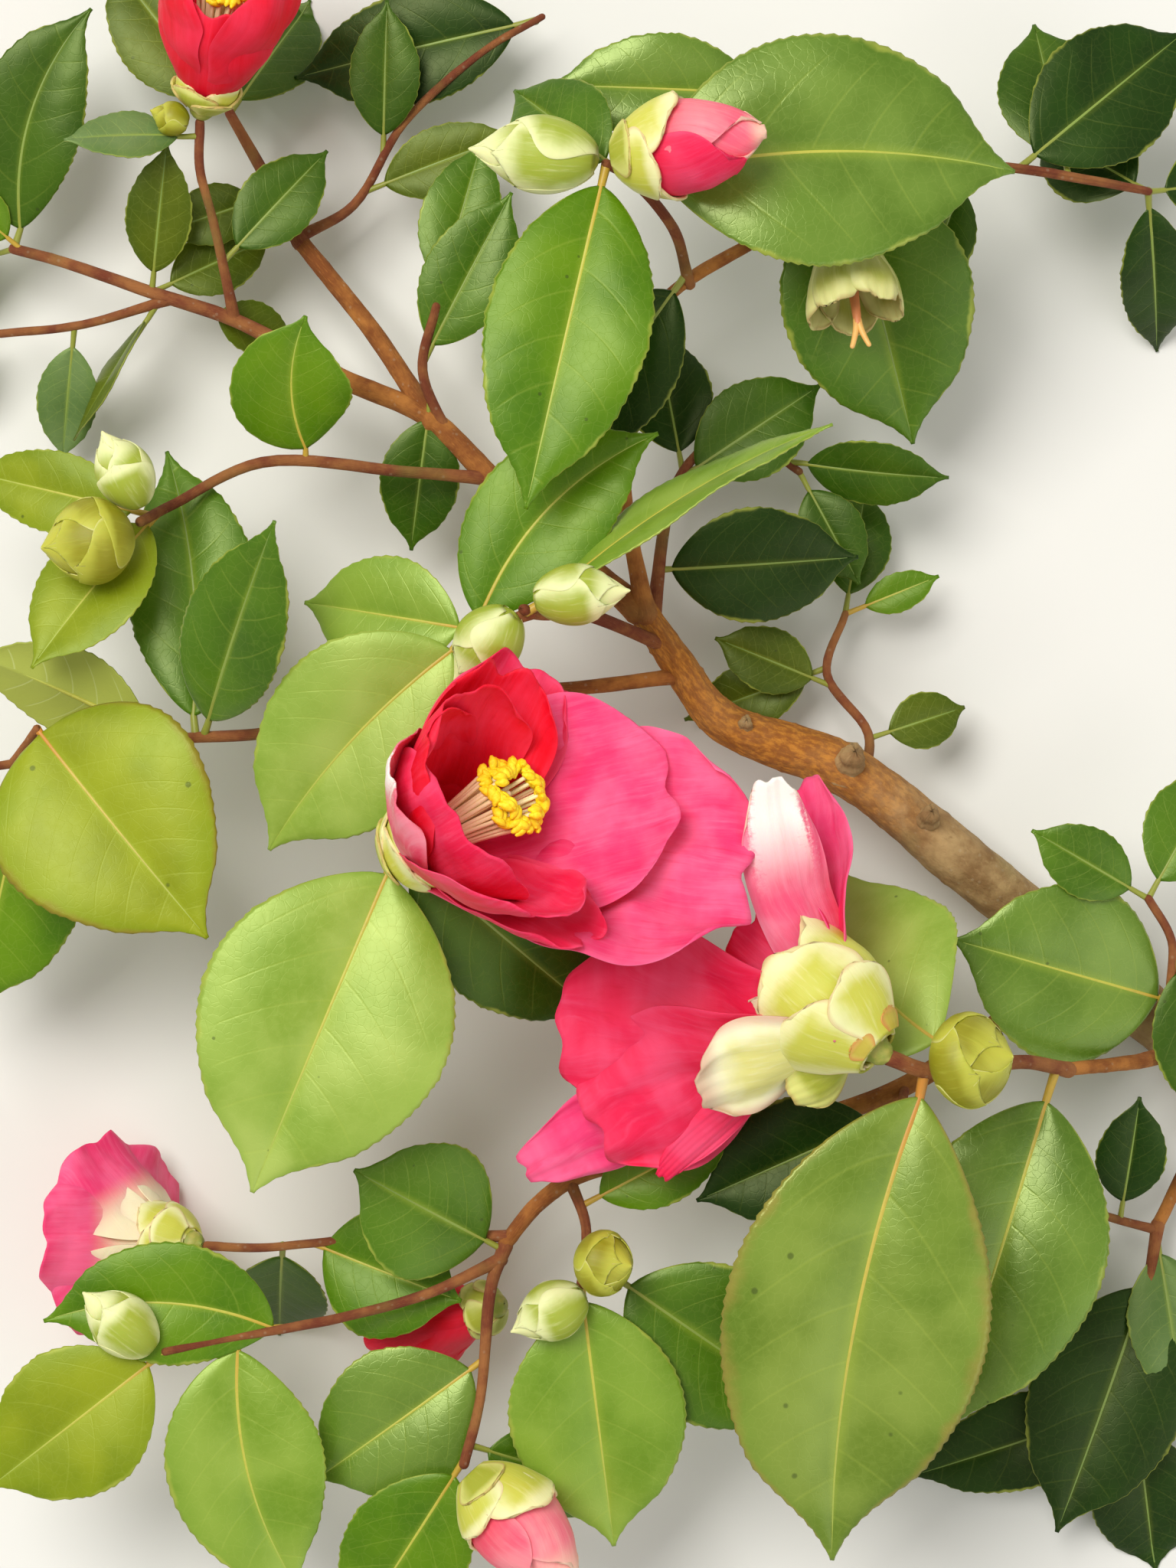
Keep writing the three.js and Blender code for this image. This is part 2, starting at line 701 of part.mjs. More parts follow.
// Boughs and sprays are made in order, each cut clear of what it grows from
const thick = {};
for (const [name, bough] of Object.entries(BOUGHS)) {
  const points = [...(bough.from || []), ...bough.way.map(seen)];
  const sides = name === 'main_bough' ? BOUGH_SIDES : LIMB_SIDES;
  thick[name] = limb(points, bough.radii, sides, GAP);
  let solid = limb(points, bough.radii, sides);
  for (const other of [bough.parent, bough.beside]) if (other) solid = clearOf(solid, thick[other]);
  add(name, solid, name === 'main_bough' ? 'oldBark' : 'youngBark');
}
for (const [name, { parent, twigs }] of Object.entries(SPRAYS)) {
  thick[name] = spray(twigs, GAP);
  add(name, clearOf(spray(twigs), thick[parent]), 'leaf');
}

// Green buds: [foot on the plan, heading, rise, length, thickness]
const BUDS = {
  bud_centre_right: [[-12, 40.5, 82], 4, 8, 21, 12.5, 'spray_centre'],
  bud_centre_left: [[-16, 37.5, 79], 228, -12, 20, 14, 'spray_centre'],
  bud_left_upper: [[-97, 60.5, 66], 117, 22, 19, 12, 'spray_left_buds'],
  bud_left_round: [[-99.5, 54, 65], 190, 28, 21, 18.5, 'spray_left_buds'],
  bud_top: [[2.5, 136, 82.5], 176, 4, 28, 16, 'spray_top'],
  bud_right: [[82.5, -62, 74], 70, 74, 19, 20, 'spray_right'],
  bud_bottom_round: [[1.5, -106.5, 56.5], 45, 58, 14, 14, 'spray_bottom_middle'],
  bud_bottom_long: [[-0.5, -111, 57], 206, 10, 18.5, 12.5, 'spray_bottom_middle'],
  bud_bottom_left: [[-94.5, -123, 58], 139, 14, 20.5, 13, 'spray_bottom_left'],
  bud_high_left: [[-87, 143.5, 45.5], 160, 10, 9, 7, 'spray_high_left'],
};
for (const [name, [foot, heading, rise, long, width, parent]] of Object.entries(BUDS)) {
  add(name, clearOf(bud(seen(foot), heading, rise, long, width), thick[parent]), 'bud');
}

// Blooms: the foot on the plan, the axis, and the leaning of each petal and bract
function ring(count, lobe) {
  return Array.from({ length: count }, (_, i) => ({ turn: (360 * i) / count + 20, ...lobe }));
}
const BLOOMS = {
  bloom_open: {
    foot: [-41, -16.5, 74],
    heading: 32,
    rise: 48,
    parent: 'spray_bloom',
    petals: [
      { turn: 8, lean: 40, open: 28, long: 42 },
      { turn: 58, lean: 40, open: 12, long: 38 },
      { turn: 118, lean: 40, open: 16, long: 40 },
      { turn: 172, lean: 46, open: 40, long: 46 },
      { turn: 224, lean: 50, open: 57, long: 69 },
      { turn: 264, lean: 46, open: 55, long: 62 },
      { turn: 296, lean: 42, open: 46, long: 50 },
      { turn: 322, lean: 38, open: 38, long: 48 },
    ],
    stamens: { long: 24, ring: 8.6 },
    bracts: [
      { turn: 20, lean: 66, open: 34, long: 15 },
      { turn: 92, lean: 62, open: 22, long: 18 },
      { turn: 164, lean: 68, open: 42, long: 15 },
      { turn: 236, lean: 74, open: 62, long: 13 },
      { turn: 308, lean: 72, open: 56, long: 13 },
    ],
  },
  bloom_nodding: {
    foot: [63.7, -58.5, 80],
    heading: 139,
    rise: -18,
    parent: 'spray_right',
    petals: [
      { turn: 10, lean: 46, open: 72, long: 66 },
      { turn: 48, lean: 36, open: 44, long: 60 },
      { turn: 100, lean: 34, open: 36, long: 46 },
      { turn: 150, lean: 36, open: 44, long: 56 },
      { turn: 190, lean: 36, open: 44, long: 54 },
      { turn: 245, lean: 24, open: 14, long: 38 },
      { turn: 305, lean: 26, open: 30, long: 44 },
      { turn: 345, lean: 44, open: 70, long: 56 },
    ],
    stamens: { long: 24, ring: 7 },
    bracts: [
      { turn: 12, lean: 66, open: 50, long: 38 },
      { turn: 80, lean: 66, open: 22, long: 26 },
      { turn: 140, lean: 66, open: 30, long: 24 },
      { turn: 210, lean: 58, open: 16, long: 20 },
      { turn: 290, lean: 58, open: 16, long: 20 },
    ],
  },
  bloom_lower_left: {
    foot: [-86, -100, 34],
    heading: 180,
    rise: -35,
    parent: 'spray_lower_left',
    petals: ring(5, { lean: 50, open: 62, long: 26 }),
    bracts: ring(5, { lean: 68, open: 40, long: 11 }),
  },
  bloom_high_left: {
    foot: [-84, 147, 45],
    heading: 74,
    rise: 30,
    parent: 'spray_high_left',
    petals: ring(5, { lean: 38, open: 14, long: 38 }),
    stamens: { long: 20, ring: 6.5 },
    bracts: ring(5, { lean: 66, open: 22, long: 13 }),
  },
  bloom_low_hidden: {
    foot: [-20, -113.5, 39],
    heading: 200,
    rise: -42,
    parent: 'spray_bottom',
    petals: ring(4, { lean: 34, open: 14, long: 22 }),
    bracts: ring(4, { lean: 60, open: 26, long: 9 }),
  },
};
for (const [name, bloom] of Object.entries(BLOOMS)) {
  const place = flowerFrame(seen(bloom.foot), bloom.heading, bloom.rise);
  const thickPetals = corolla(place, bloom.petals, GAP);
  if (bloom.stamens) {
    const { long, ring: radius } = bloom.stamens;
    add(`${name}_stamens`, clearOf(stamens(place, long, radius), thickPetals), 'stamen');
  }
  add(`${name}_petals`, corolla(place, bloom.petals), 'petal');
  add(`${name}_calyx`, clearOf(calyx(place, bloom.bracts), thickPetals, thick[bloom.parent]), 'bract');
}

// Opening buds: rolled petals in a cup of bracts
const OPENING_BUDS = {
  opening_bud_top: { foot: [5, 136, 86], heading: 8, rise: 15, long: 34, wide: 20, parent: 'spray_top' },
  opening_bud_bottom: {
    foot: [-26, -149.5, 57], heading: -46, rise: 10, long: 34, wide: 20, parent: 'spray_bottom',
  },
};
for (const [name, opening] of Object.entries(OPENING_BUDS)) {
  const place = flowerFrame(seen(opening.foot), opening.heading, opening.rise);
  const girth = (u) => (opening.wide / 2) * max(sin(PI * min(u ** 0.9, 0.97)) ** 0.7, 0.2);
  const rolled = (grow) => loft([0.16, 0.34, 0.55, 0.75, 0.91, 1].map((u) => (
    Array.from({ length: 10 }, (_, j) => place(girth(u) + grow, 36 * j, u * opening.long)))));
  const bracts = lobedCup(place, ring(4, { long: opening.long * 0.6 }), ({ long }, u) => {
    const along = 2.4 + (long - 2.4) * u;
    return [girth(along / opening.long) + 1.7, along];
  }, BRACT_THICKNESS, BRACT_SHARES);
  const knob = loft([[0.5, 2.2], [2, 3.6], [4.4, 3.6]].map(([along, across]) => (
    Array.from({ length: 8 }, (_, j) => place(across, 45 * j, along)))));
  add(`${name}_petals`, rolled(0), 'petal');
  add(`${name}_bracts`, clearOf(bracts.add(knob), rolled(GAP), thick[opening.parent]), 'bract');
}

// The bloom that has dropped its petals: bracts and the pistil
const spentPlace = flowerFrame(seen([56, 121, 58]), 276, 18);
const spentBracts = ring(5, { lean: 64, open: 10, long: 19 });
const spentCalyx = clearOf(calyx(spentPlace, spentBracts), thick.spray_top_right, thick.spray_top);
add('spent_bloom_calyx', spentCalyx, 'bract');
add('spent_bloom_pistil', loft([[5.6, 1.4], [12, 1.2], [22, 1], [27, 1.5]].map(([along, across]) => (
  Array.from({ length: 6 }, (_, j) => spentPlace(across, 60 * j, along))))), 'stamen');

// The origin goes to the middle of the underside
const box = new THREE.Box3().setFromObject(branch);
branch.position.set(-(box.min.x + box.max.x) / 2, -(box.min.y + box.max.y) / 2, -box.min.z);
branch.updateMatrixWorld(true);

export default branch;
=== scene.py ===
"""The looks of a cut flowering camellia branch that lies on a level surface.

Lengths are in millimetres and angles in degrees until a mesh is made. Boughs, twigs, leaves, buds and blooms
grow from the same named sizes as the solids that they replace, and every surface is worked out with numpy.
"""

import json

import bpy
import numpy as np
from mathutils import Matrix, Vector


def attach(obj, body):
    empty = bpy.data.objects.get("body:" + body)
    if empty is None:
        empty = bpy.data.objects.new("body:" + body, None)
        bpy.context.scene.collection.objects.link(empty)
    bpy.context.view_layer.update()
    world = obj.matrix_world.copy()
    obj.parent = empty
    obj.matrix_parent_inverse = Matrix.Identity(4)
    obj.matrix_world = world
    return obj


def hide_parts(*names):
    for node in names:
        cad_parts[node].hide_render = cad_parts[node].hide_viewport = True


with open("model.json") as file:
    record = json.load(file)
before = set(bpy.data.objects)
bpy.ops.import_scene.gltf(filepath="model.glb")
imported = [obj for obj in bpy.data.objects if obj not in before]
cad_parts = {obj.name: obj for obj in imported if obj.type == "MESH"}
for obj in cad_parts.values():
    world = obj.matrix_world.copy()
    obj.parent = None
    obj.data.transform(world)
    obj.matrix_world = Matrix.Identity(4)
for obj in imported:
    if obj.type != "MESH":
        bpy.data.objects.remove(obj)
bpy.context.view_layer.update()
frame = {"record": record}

# Driving sizes
MM = 0.001
EYE_HEIGHT = 960.0  # height from which the plan below is drawn
PLAN_HEIGHT = 60.0  # height at which the plan is full size
PHOTO_SCALE = 6.0  # pixels of the picture for a millimetre of the plan
PHOTO_LONG_SIDE = 2048
CUT_PLAN = (147.0, -71.0)
CUT_RADIUS = 6.8
CUT_RISE = 0.15
CUT_HEADING = 140.0
FIRST_RUN = 40.0
PETAL_FOOT, PETAL_START = 4.4, 6.2  # radius and height of the ring that petals grow from
BRACT_FOOT, BRACT_START = 3.4, 3.0  # radius and height of the ring that bracts grow from
FLARE_REACH = 4.0  # a limb's foot swells over about this length
TWIG_FLARE, TWIG_RELIEF = 0.25, 0.12  # swelling of a twig's foot, and depth of its bark relief
CUT_DOME, CUT_GAP = 0.3, 0.05  # how far the cut bulges, and stands off the bark's end
LEAF_FLOOR = 0.5  # lowest height of the middle of a leaf's blade
RIB_FLOOR = 0.8  # lowest height of the middle of a leaf's rib
KNOB_RADIUS, KNOB_FOOT = 4.2, 0.3  # the solid foot of a bloom, and its gap to the stalk
KNOB_TALL = 5.0
GOLDEN_ANGLE = 137.5
BUD_SCALES = 6

# Fineness of the meshes
BOUGH_STEPS, LIMB_STEPS, TWIG_STEPS = 30, 12, 8  # steps for each span of the path
BOUGH_SIDES, LIMB_SIDES, TWIG_SIDES = 56, 24, 14
CUT_RINGS, CUT_SPOKES = 14, 48
PETAL_ROWS, PETAL_COLS = 44, 41
MIDLINE_STEPS = 200
CORE_ROWS, CORE_SIDES = 18, 24

rng = np.random.default_rng(11)


def plan_point(x, y, z):
    """A point of the plan raised to height z: the plan shrinks with height as it does towards the eye."""
    scale = (EYE_HEIGHT - z) / (EYE_HEIGHT - PLAN_HEIGHT)
    return np.array([x * scale, y * scale, z], float)


cut_centre = plan_point(*CUT_PLAN, CUT_RADIUS + CUT_RISE)
cut_mount = next(m for m in frame["record"]["mounts"] if m["name"] == "cut_end")
SHIFT = np.array(cut_mount["pos_m"]) / MM - cut_centre  # from the plan's origin to the part's


def seen(x, y, z):
    """A point of the plan at height z, in the part's frame."""
    return plan_point(x, y, z) + SHIFT


def unit(vectors):
    """Vectors divided by their lengths."""
    return vectors / np.maximum(np.linalg.norm(vectors, axis=-1, keepdims=True), 1e-9)


def smooth(t):
    """3t² - 2t³ of t held between 0 and 1."""
    t = np.clip(t, 0, 1)
    return t * t * (3 - 2 * t)


def bearing(heading, rise, roll=0.0):
    """Forward, left and up directions: forward points along a heading and a rise, and left is turned about it
    by the roll from the level."""
    h, e, r = np.radians(heading), np.radians(rise), np.radians(roll)
    forward = np.array([np.cos(e) * np.cos(h), np.cos(e) * np.sin(h), np.sin(e)])
    level = np.array([-np.sin(h), np.cos(h), 0.0])
    left = level * np.cos(r) + np.cross(forward, level) * np.sin(r)
    return forward, left, np.cross(forward, left)


def run_length(path):
    """The length of a path up to each of its points."""
    return np.concatenate([[0], np.cumsum(np.linalg.norm(np.diff(path, axis=0), axis=1))])


def curve_points(points, shares):
    """Points of a centripetal spline through the given points, at shares of its spans. Each span is a cubic
    whose end slopes come from its neighbours, weighed by the square roots of the chords."""
    p = np.asarray(points, float)
    p = np.vstack([2 * p[0] - p[1], p, 2 * p[-1] - p[-2]])
    chord = np.maximum(np.linalg.norm(np.diff(p, axis=0), axis=1) ** 0.5, 1e-4)
    place = np.clip(np.asarray(shares, float), 0, 1) * (len(points) - 1)
    k = np.minimum(place.astype(int), len(points) - 2)
    w = (place - k)[:, None]
    d0, d1, d2 = chord[k][:, None], chord[k + 1][:, None], chord[k + 2][:, None]
    x0, x1, x2, x3 = p[k], p[k + 1], p[k + 2], p[k + 3]
    t1 = ((x1 - x0) / d0 - (x2 - x0) / (d0 + d1) + (x2 - x1) / d1) * d1
    t2 = ((x2 - x1) / d1 - (x3 - x1) / (d1 + d2) + (x3 - x2) / d2) * d1
    return x1 + t1 * w + (3 * (x2 - x1) - 2 * t1 - t2) * w**2 + (2 * (x1 - x2) + t1 + t2) * w**3


# Surfaces: a part is its vertices, its faces and what its materials read at each vertex
def grid_faces(rows, cols, closed=False):
    """Quads of a grid of rows by cols vertices, its last column joined to its first where it is closed."""
    i, j = np.meshgrid(np.arange(rows - 1), np.arange(cols if closed else cols - 1), indexing="ij")
    a, b = i * cols + j, i * cols + (j + 1) % cols
    return np.stack([a, a + cols, b + cols, b], -1).reshape(-1, 4)


def capped_faces(rows, sides):
    """Faces of a closed tube of rings of vertices: its quads and a flat face at each end."""
    first, last = np.arange(sides), np.arange(sides) + (rows - 1) * sides
    return [grid_faces(rows, sides, closed=True)[:, ::-1], first[None, :], last[None, ::-1]]


def shell(points, thickness, **data):
    """A closed thin wall. Each skin is the grid of points moved half the thickness along the normal, which is
    the cross product of the grid's two directions, and a rim of quads joins the skins all round."""
    rows, cols, _ = points.shape
    normal = unit(np.cross(np.gradient(points, axis=0), np.gradient(points, axis=1)))
    offset = normal * (np.broadcast_to(thickness, (rows, cols)) / 2)[..., None]
    count = rows * cols
    skin = grid_faces(rows, cols)
    index = np.arange(count).reshape(rows, cols)
    edge = np.concatenate([index[0, :-1], index[:-1, -1], index[-1, :0:-1], index[:0:-1, 0]])
    ahead = np.roll(edge, -1)
    rim = np.stack([edge, ahead, ahead + count, edge + count], -1)
    values = {key: np.broadcast_to(value, (rows, cols)).ravel() for key, value in data.items()}
    values = {key: np.concatenate([value, value]) for key, value in values.items()}
    values["inner"] = np.repeat([1.0, 0.0], count)
    return {
        "points": np.concatenate([(points + offset).reshape(-1, 3), (points - offset).reshape(-1, 3)]),
        "faces": [skin, skin[:, ::-1] + count, rim],
        "values": values,
    }


def tube(path, radius, sides=10, relief=None, round_ends=True, **data):
    """A closed tube: circles of the radius about each point of the path, square to it, and a rounded cap of
    shrinking circles at each end if `round_ends`. relief(along, turn) is added to the radius."""
    path = np.asarray(path, float)
    radius = np.broadcast_to(radius, len(path)).astype(float)
    data = {key: np.broadcast_to(value, len(path)) for key, value in data.items()}
    tangent = unit(np.gradient(path, axis=0))
    if round_ends:
        bulge = np.array([1.0, 0.8, 0.45])
        shrink = np.array([0.08, 0.6, 0.9])
        path = np.vstack([
            path[0] - np.outer(bulge * radius[0], tangent[0]), path,
            path[-1] + np.outer(bulge[::-1] * radius[-1], tangent[-1]),
        ])
        tangent = np.vstack([np.repeat(tangent[:1], 3, 0), tangent, np.repeat(tangent[-1:], 3, 0)])
        radius = np.concatenate([shrink * radius[0], radius, shrink[::-1] * radius[-1]])
        data = {key: np.concatenate([np.repeat(v[0], 3), v, np.repeat(v[-1], 3)])
                for key, v in data.items()}
    reference = np.eye(3)[np.argmin(np.abs(tangent.mean(0)))]
    side = unit(np.cross(tangent, reference))
    up = np.cross(side, tangent)
    turn = np.linspace(0, 2 * np.pi, sides, endpoint=False)
    along = run_length(path)
    reach = radius[:, None] + (relief(along[:, None], turn[None, :]) if relief else 0)
    points = (path[:, None] + side[:, None] * (reach * np.cos(turn))[..., None]
              + up[:, None] * (reach * np.sin(turn))[..., None])
    values = {key: np.repeat(value, sides) for key, value in data.items()}
    values["run"] = np.repeat(along, sides)
    values["turn"] = np.tile(turn, len(path))
    return {"points": points.reshape(-1, 3), "faces": capped_faces(len(path), sides), "values": values}


SCALE_DATA = ["along", "across", "inner", "lay"]  # what the materials of petals and scales read


def make_piece(name, parts, material, nodes=(), attributes=()):
    """One mesh of all the parts, in metres at the origin, that rides on the root body and replaces its CAD
    nodes. The named attributes are kept for its material."""
    counts = np.cumsum([0] + [len(part["points"]) for part in parts])
    points = np.concatenate([part["points"] for part in parts]) * MM
    faces = [row for part, start in zip(parts, counts)
             for block in part["faces"] for row in (block + start).tolist()]
    mesh = bpy.data.meshes.new(name)
    mesh.from_pydata(points, [], faces)
    for key in attributes:
        if key == "lay":
            values = np.concatenate([
                np.stack([part["values"][k] for k in ("lay_x", "lay_y", "lay_z")], -1) for part in parts])
            mesh.attributes.new(key, "FLOAT_VECTOR", "POINT").data.foreach_set("vector", values.ravel())
        else:
            values = np.concatenate([part["values"][key] for part in parts])
            mesh.attributes.new(key, "FLOAT", "POINT").data.foreach_set("value", values.astype(np.float32))
    mesh.polygons.foreach_set("use_smooth", np.ones(len(faces), bool))
    mesh.materials.append(material)
    mesh.validate()
    mesh.update()
    piece = bpy.data.objects.new(name, mesh)
    bpy.context.scene.collection.objects.link(piece)
    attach(piece, "root")
    if nodes:
        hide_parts(*nodes)


def make_by_look(prefix, parts, looks, node):
    """One piece for each look that some of the parts have. Parts are given as (look, part)."""
    for look, finish in looks.items():
        chosen = [part for its, part in parts if its == look]
        if chosen:
            make_piece(f"{prefix}_{look}", chosen, finish, [node], SCALE_DATA)


# Materials: small helpers, then one function for each finish
def srgb(text):
    """A linear colour from a hexadecimal display colour, by the display's own curve."""
    c = np.array([int(text[i:i + 2], 16) for i in (1, 3, 5)]) / 255
    linear = np.where(c <= 0.04045, c / 12.92, ((c + 0.055) / 1.055) ** 2.4)
    return (*linear.tolist(), 1.0)


class Nodes:
    """Adds nodes to one material and wires them."""

    def __init__(self, name):
        self.material = bpy.data.materials.new(name)
        self.material.use_nodes = True
        self.tree = self.material.node_tree
        self.shader = self.tree.nodes["Principled BSDF"]

    def add(self, kind, inputs=(), out=0, **settings):
        """A node of a kind with its settings, whose inputs are values or other nodes' outputs."""
        node = self.tree.nodes.new(kind)
        for key, value in settings.items():
            setattr(node, key, value)
        for key, value in dict(inputs).items():
            if isinstance(value, bpy.types.NodeSocket):
                self.tree.links.new(value, node.inputs[key])
            else:
                node.inputs[key].default_value = value
        return node.outputs[out]

    def read(self, attribute, vector=False):
        """An attribute of the mesh."""
        return self.add("ShaderNodeAttribute", attribute_name=attribute, out=1 if vector else 2)

    def place(self):
        """Object coordinates, in metres."""
        return self.add("ShaderNodeTexCoord", out=3)

    def math(self, operation, a, b=0.0):
        """What the named operation makes of one number or two."""
        return self.add("ShaderNodeMath", {0: a, 1: b}, operation=operation)

    def plus(self, a, b):
        """The sum of two numbers."""
        return self.math("ADD", a, b)

    def times(self, a, b):
        """The product of two numbers."""
        return self.math("MULTIPLY", a, b)

    def about_zero(self, value, reach):
        """A value from 0 to 1, moved to lie evenly about zero and stretched to the reach."""
        return self.times(self.math("SUBTRACT", value, 0.5), reach)

    def ease(self, value, low, high, to_low=0.0, to_high=1.0):
        """A smooth step from to_low to to_high as the value goes from low to high."""
        return self.add("ShaderNodeMapRange", {0: value, 1: low, 2: high, 3: to_low, 4: to_high},
                        interpolation_type="SMOOTHSTEP")

    def mix(self, share, a, b, blend="MIX"):
        """Colour a, turned into colour b by the share. A colour may be a hexadecimal text."""
        a, b = (srgb(colour) if isinstance(colour, str) else colour for colour in (a, b))
        return self.add("ShaderNodeMix", {0: share, 6: a, 7: b}, out=2, data_type="RGBA", blend_type=blend)

    def noise(self, vector, scale, detail=3.0, rough=0.5):
        """Cloudy noise from 0 to 1."""
        inputs = {"Vector": vector, "Scale": scale, "Detail": detail, "Roughness": rough}
        return self.add("ShaderNodeTexNoise", inputs)

    def cells(self, vector, scale, feature):
        """Distance from cell middles (F1) or from the lines between cells (DISTANCE_TO_EDGE)."""
        return self.add("ShaderNodeTexVoronoi", {"Vector": vector, "Scale": scale}, feature=feature)

    def stretch(self, vector, scale):
        """A vector with its parts scaled."""
        return self.add("ShaderNodeMapping", {"Vector": vector, "Scale": scale})

    def bump(self, height, strength, distance_mm):
        """A normal that follows a height."""
        inputs = {"Height": height, "Strength": strength, "Distance": distance_mm * MM}
        normal = self.add("ShaderNodeBump", inputs)
        self.tree.links.new(normal, self.shader.inputs["Normal"])

    def finish(self, colour, roughness, **values):
        """Sets the shader's colour and roughness, and its plain values."""
        for key, value in {"Base Color": colour, "Roughness": roughness}.items():
            if isinstance(value, bpy.types.NodeSocket):
                self.tree.links.new(value, self.shader.inputs[key])
            else:
                self.shader.inputs[key].default_value = value
        for key, value in values.items():
            self.shader.inputs[key.replace("_", " ")].default_value = value
        return self.material


def leaf_finish(name, base, young, under, gloss, margin="#a9b048", margin_from=0.955, veins=1.0,
                speck_size=0.055, shine=0.85):
    """A leaf's blade: a plain base colour above, clouded a little by a younger one, and a matte paler
    underside. Faint paler veins, as strong as `veins`, curve from the midrib to the rim, which is paler or
    browned from `margin_from` on. A few dark specks are as large as `speck_size` says. `gloss` is the
    roughness above, and `shine` the strength of its gleam."""
    n = Nodes(name)
    lay = n.read("lay", vector=True)
    across = n.math("ABSOLUTE", n.read("across"))
    vein = n.math("PINGPONG", n.read("vein"), 0.5)
    line = n.ease(vein, 0.0, 0.045, 1.0, 0.0)
    line = n.times(line, n.ease(across, 0.7, 0.93, 1.0, 0.0))
    cloud = n.ease(n.noise(lay, 0.05, 2.0), 0.32, 0.68)
    fine = n.noise(lay, 0.55, 4.0, 0.6)
    net = n.ease(n.cells(lay, 0.5, "DISTANCE_TO_EDGE"), 0.0, 0.06, 1.0, 0.0)
    speck = n.ease(n.cells(lay, 0.11, "F1"), speck_size * 0.55, speck_size, 1.0, 0.0)
    colour = n.mix(cloud, base, young)
    colour = n.mix(n.ease(fine, 0.4, 0.7, 0.0, 0.25), colour, young)
    # Painted shade: the blade is darker in broad cloudy patches and towards its rim
    painted_shade = n.ease(n.noise(lay, 0.033, 2.0), 0.46, 0.66, 0.0, 0.6)
    painted_shade = n.math("MAXIMUM", painted_shade, n.ease(across, 0.5, 1.0, 0.0, 0.5))
    colour = n.mix(painted_shade, colour, (0.66, 0.8, 0.42, 1.0), "MULTIPLY")
    colour = n.mix(n.ease(across, 0.0, 0.12, 0.26 * veins, 0.0), colour, "#a9b83c")
    colour = n.mix(n.times(line, 0.12 * veins), colour, "#b4c050")
    colour = n.mix(n.times(net, 0.05 * veins), colour, "#bcc765")
    colour = n.mix(n.times(speck, 0.6), colour, "#2c3a12")
    rim = n.plus(across, n.about_zero(n.noise(lay, 0.12, 3.0), 0.25))
    rim = n.ease(n.math("MAXIMUM", rim, n.ease(across, 0.965, 0.99)), margin_from, 1.02, 0.0, 0.65)
    colour = n.mix(rim, colour, margin)
    below = n.mix(n.times(line, 0.5), under, "#c3cc85")
    colour = n.mix(n.read("inner"), below, colour)
    rough = n.ease(n.read("inner"), 0.0, 1.0, 0.62, gloss)
    rough = n.plus(rough, n.about_zero(fine, 0.14))
    height = n.plus(n.times(line, -0.4), n.times(fine, 0.5))
    n.bump(n.plus(height, n.times(net, -0.18)), 0.28, 0.22)
    return n.finish(colour, rough, Specular_IOR_Level=shine, Specular_Tint=(0.86, 1.0, 0.45, 1.0))


def rib_finish(name, foot, middle, tip, cloudy="#8f8d35"):
    """A stalk and midrib, or a stamen's thread: one colour at its foot that eases into others towards its
    tip, with faint clouds of another."""
    n = Nodes(name)
    along = n.read("along")
    colour = n.mix(n.ease(along, 0.0, 0.25), foot, middle)
    colour = n.mix(n.ease(along, 0.35, 0.95), colour, tip)
    cloud = n.noise(n.place(), 900.0, 3.0)
    colour = n.mix(n.ease(cloud, 0.4, 0.8, 0.0, 0.25), colour, cloudy)
    n.bump(cloud, 0.2, 0.15)
    return n.finish(colour, 0.45)


def bark_finish(name, dark, light, moss, coarse, young_from=None):
    """Bark: cloudy patches of two browns, some mossy, ridges stretched along the limb that are finer the
    greater `coarse` is, and pale specks. Past `young_from` millimetres it turns a warmer brown."""
    n = Nodes(name)
    place = n.place()
    run = n.add("ShaderNodeCombineXYZ", {0: n.times(n.read("run"), 0.35),
                                         1: n.times(n.math("COSINE", n.read("turn")), 4.0),
                                         2: n.times(n.math("SINE", n.read("turn")), 4.0)})
    ridge = n.noise(run, coarse, 6.0, 0.65)
    patch = n.noise(place, 110.0, 4.0, 0.6)
    speck = n.cells(place, 420.0, "F1")
    colour = n.mix(n.ease(patch, 0.35, 0.68), dark, light)
    colour = n.mix(n.ease(ridge, 0.5, 0.75, 0.0, 0.6), colour, light)
    colour = n.mix(n.ease(ridge, 0.42, 0.25, 0.0, 0.7), colour, dark)
    colour = n.mix(n.ease(n.noise(place, 60.0, 2.0), 0.55, 0.72, 0.0, 0.45), colour, moss)
    colour = n.mix(n.ease(speck, 0.1, 0.2, 0.22, 0.0), colour, "#b9a98c")
    if young_from:
        warm = n.ease(n.read("run"), young_from, young_from + 40, 0.0, 0.8)
        colour = n.mix(warm, colour, n.mix(n.ease(ridge, 0.4, 0.65), "#945210", "#c98020"))
    height = n.plus(ridge, n.times(n.noise(place, 900.0, 4.0), 0.4))
    n.bump(height, 0.7, 0.6)
    return n.finish(colour, 0.78, Specular_IOR_Level=0.3)


def cut_finish(name):
    """Cut wood: rings of two pale browns about the pith."""
    n = Nodes(name)
    ring = n.math("SINE", n.times(n.read("along"), 42.0))
    grain = n.noise(n.place(), 1500.0, 4.0)
    colour = n.mix(n.ease(ring, -0.6, 0.8), "#d9c08f", "#c19f68")
    colour = n.mix(n.ease(grain, 0.4, 0.8, 0.0, 0.5), colour, "#a98352")
    colour = n.mix(n.ease(n.read("along"), 0.86, 0.98), colour, "#5e4430")
    n.bump(n.plus(ring, grain), 0.3, 0.2)
    return n.finish(colour, 0.85)


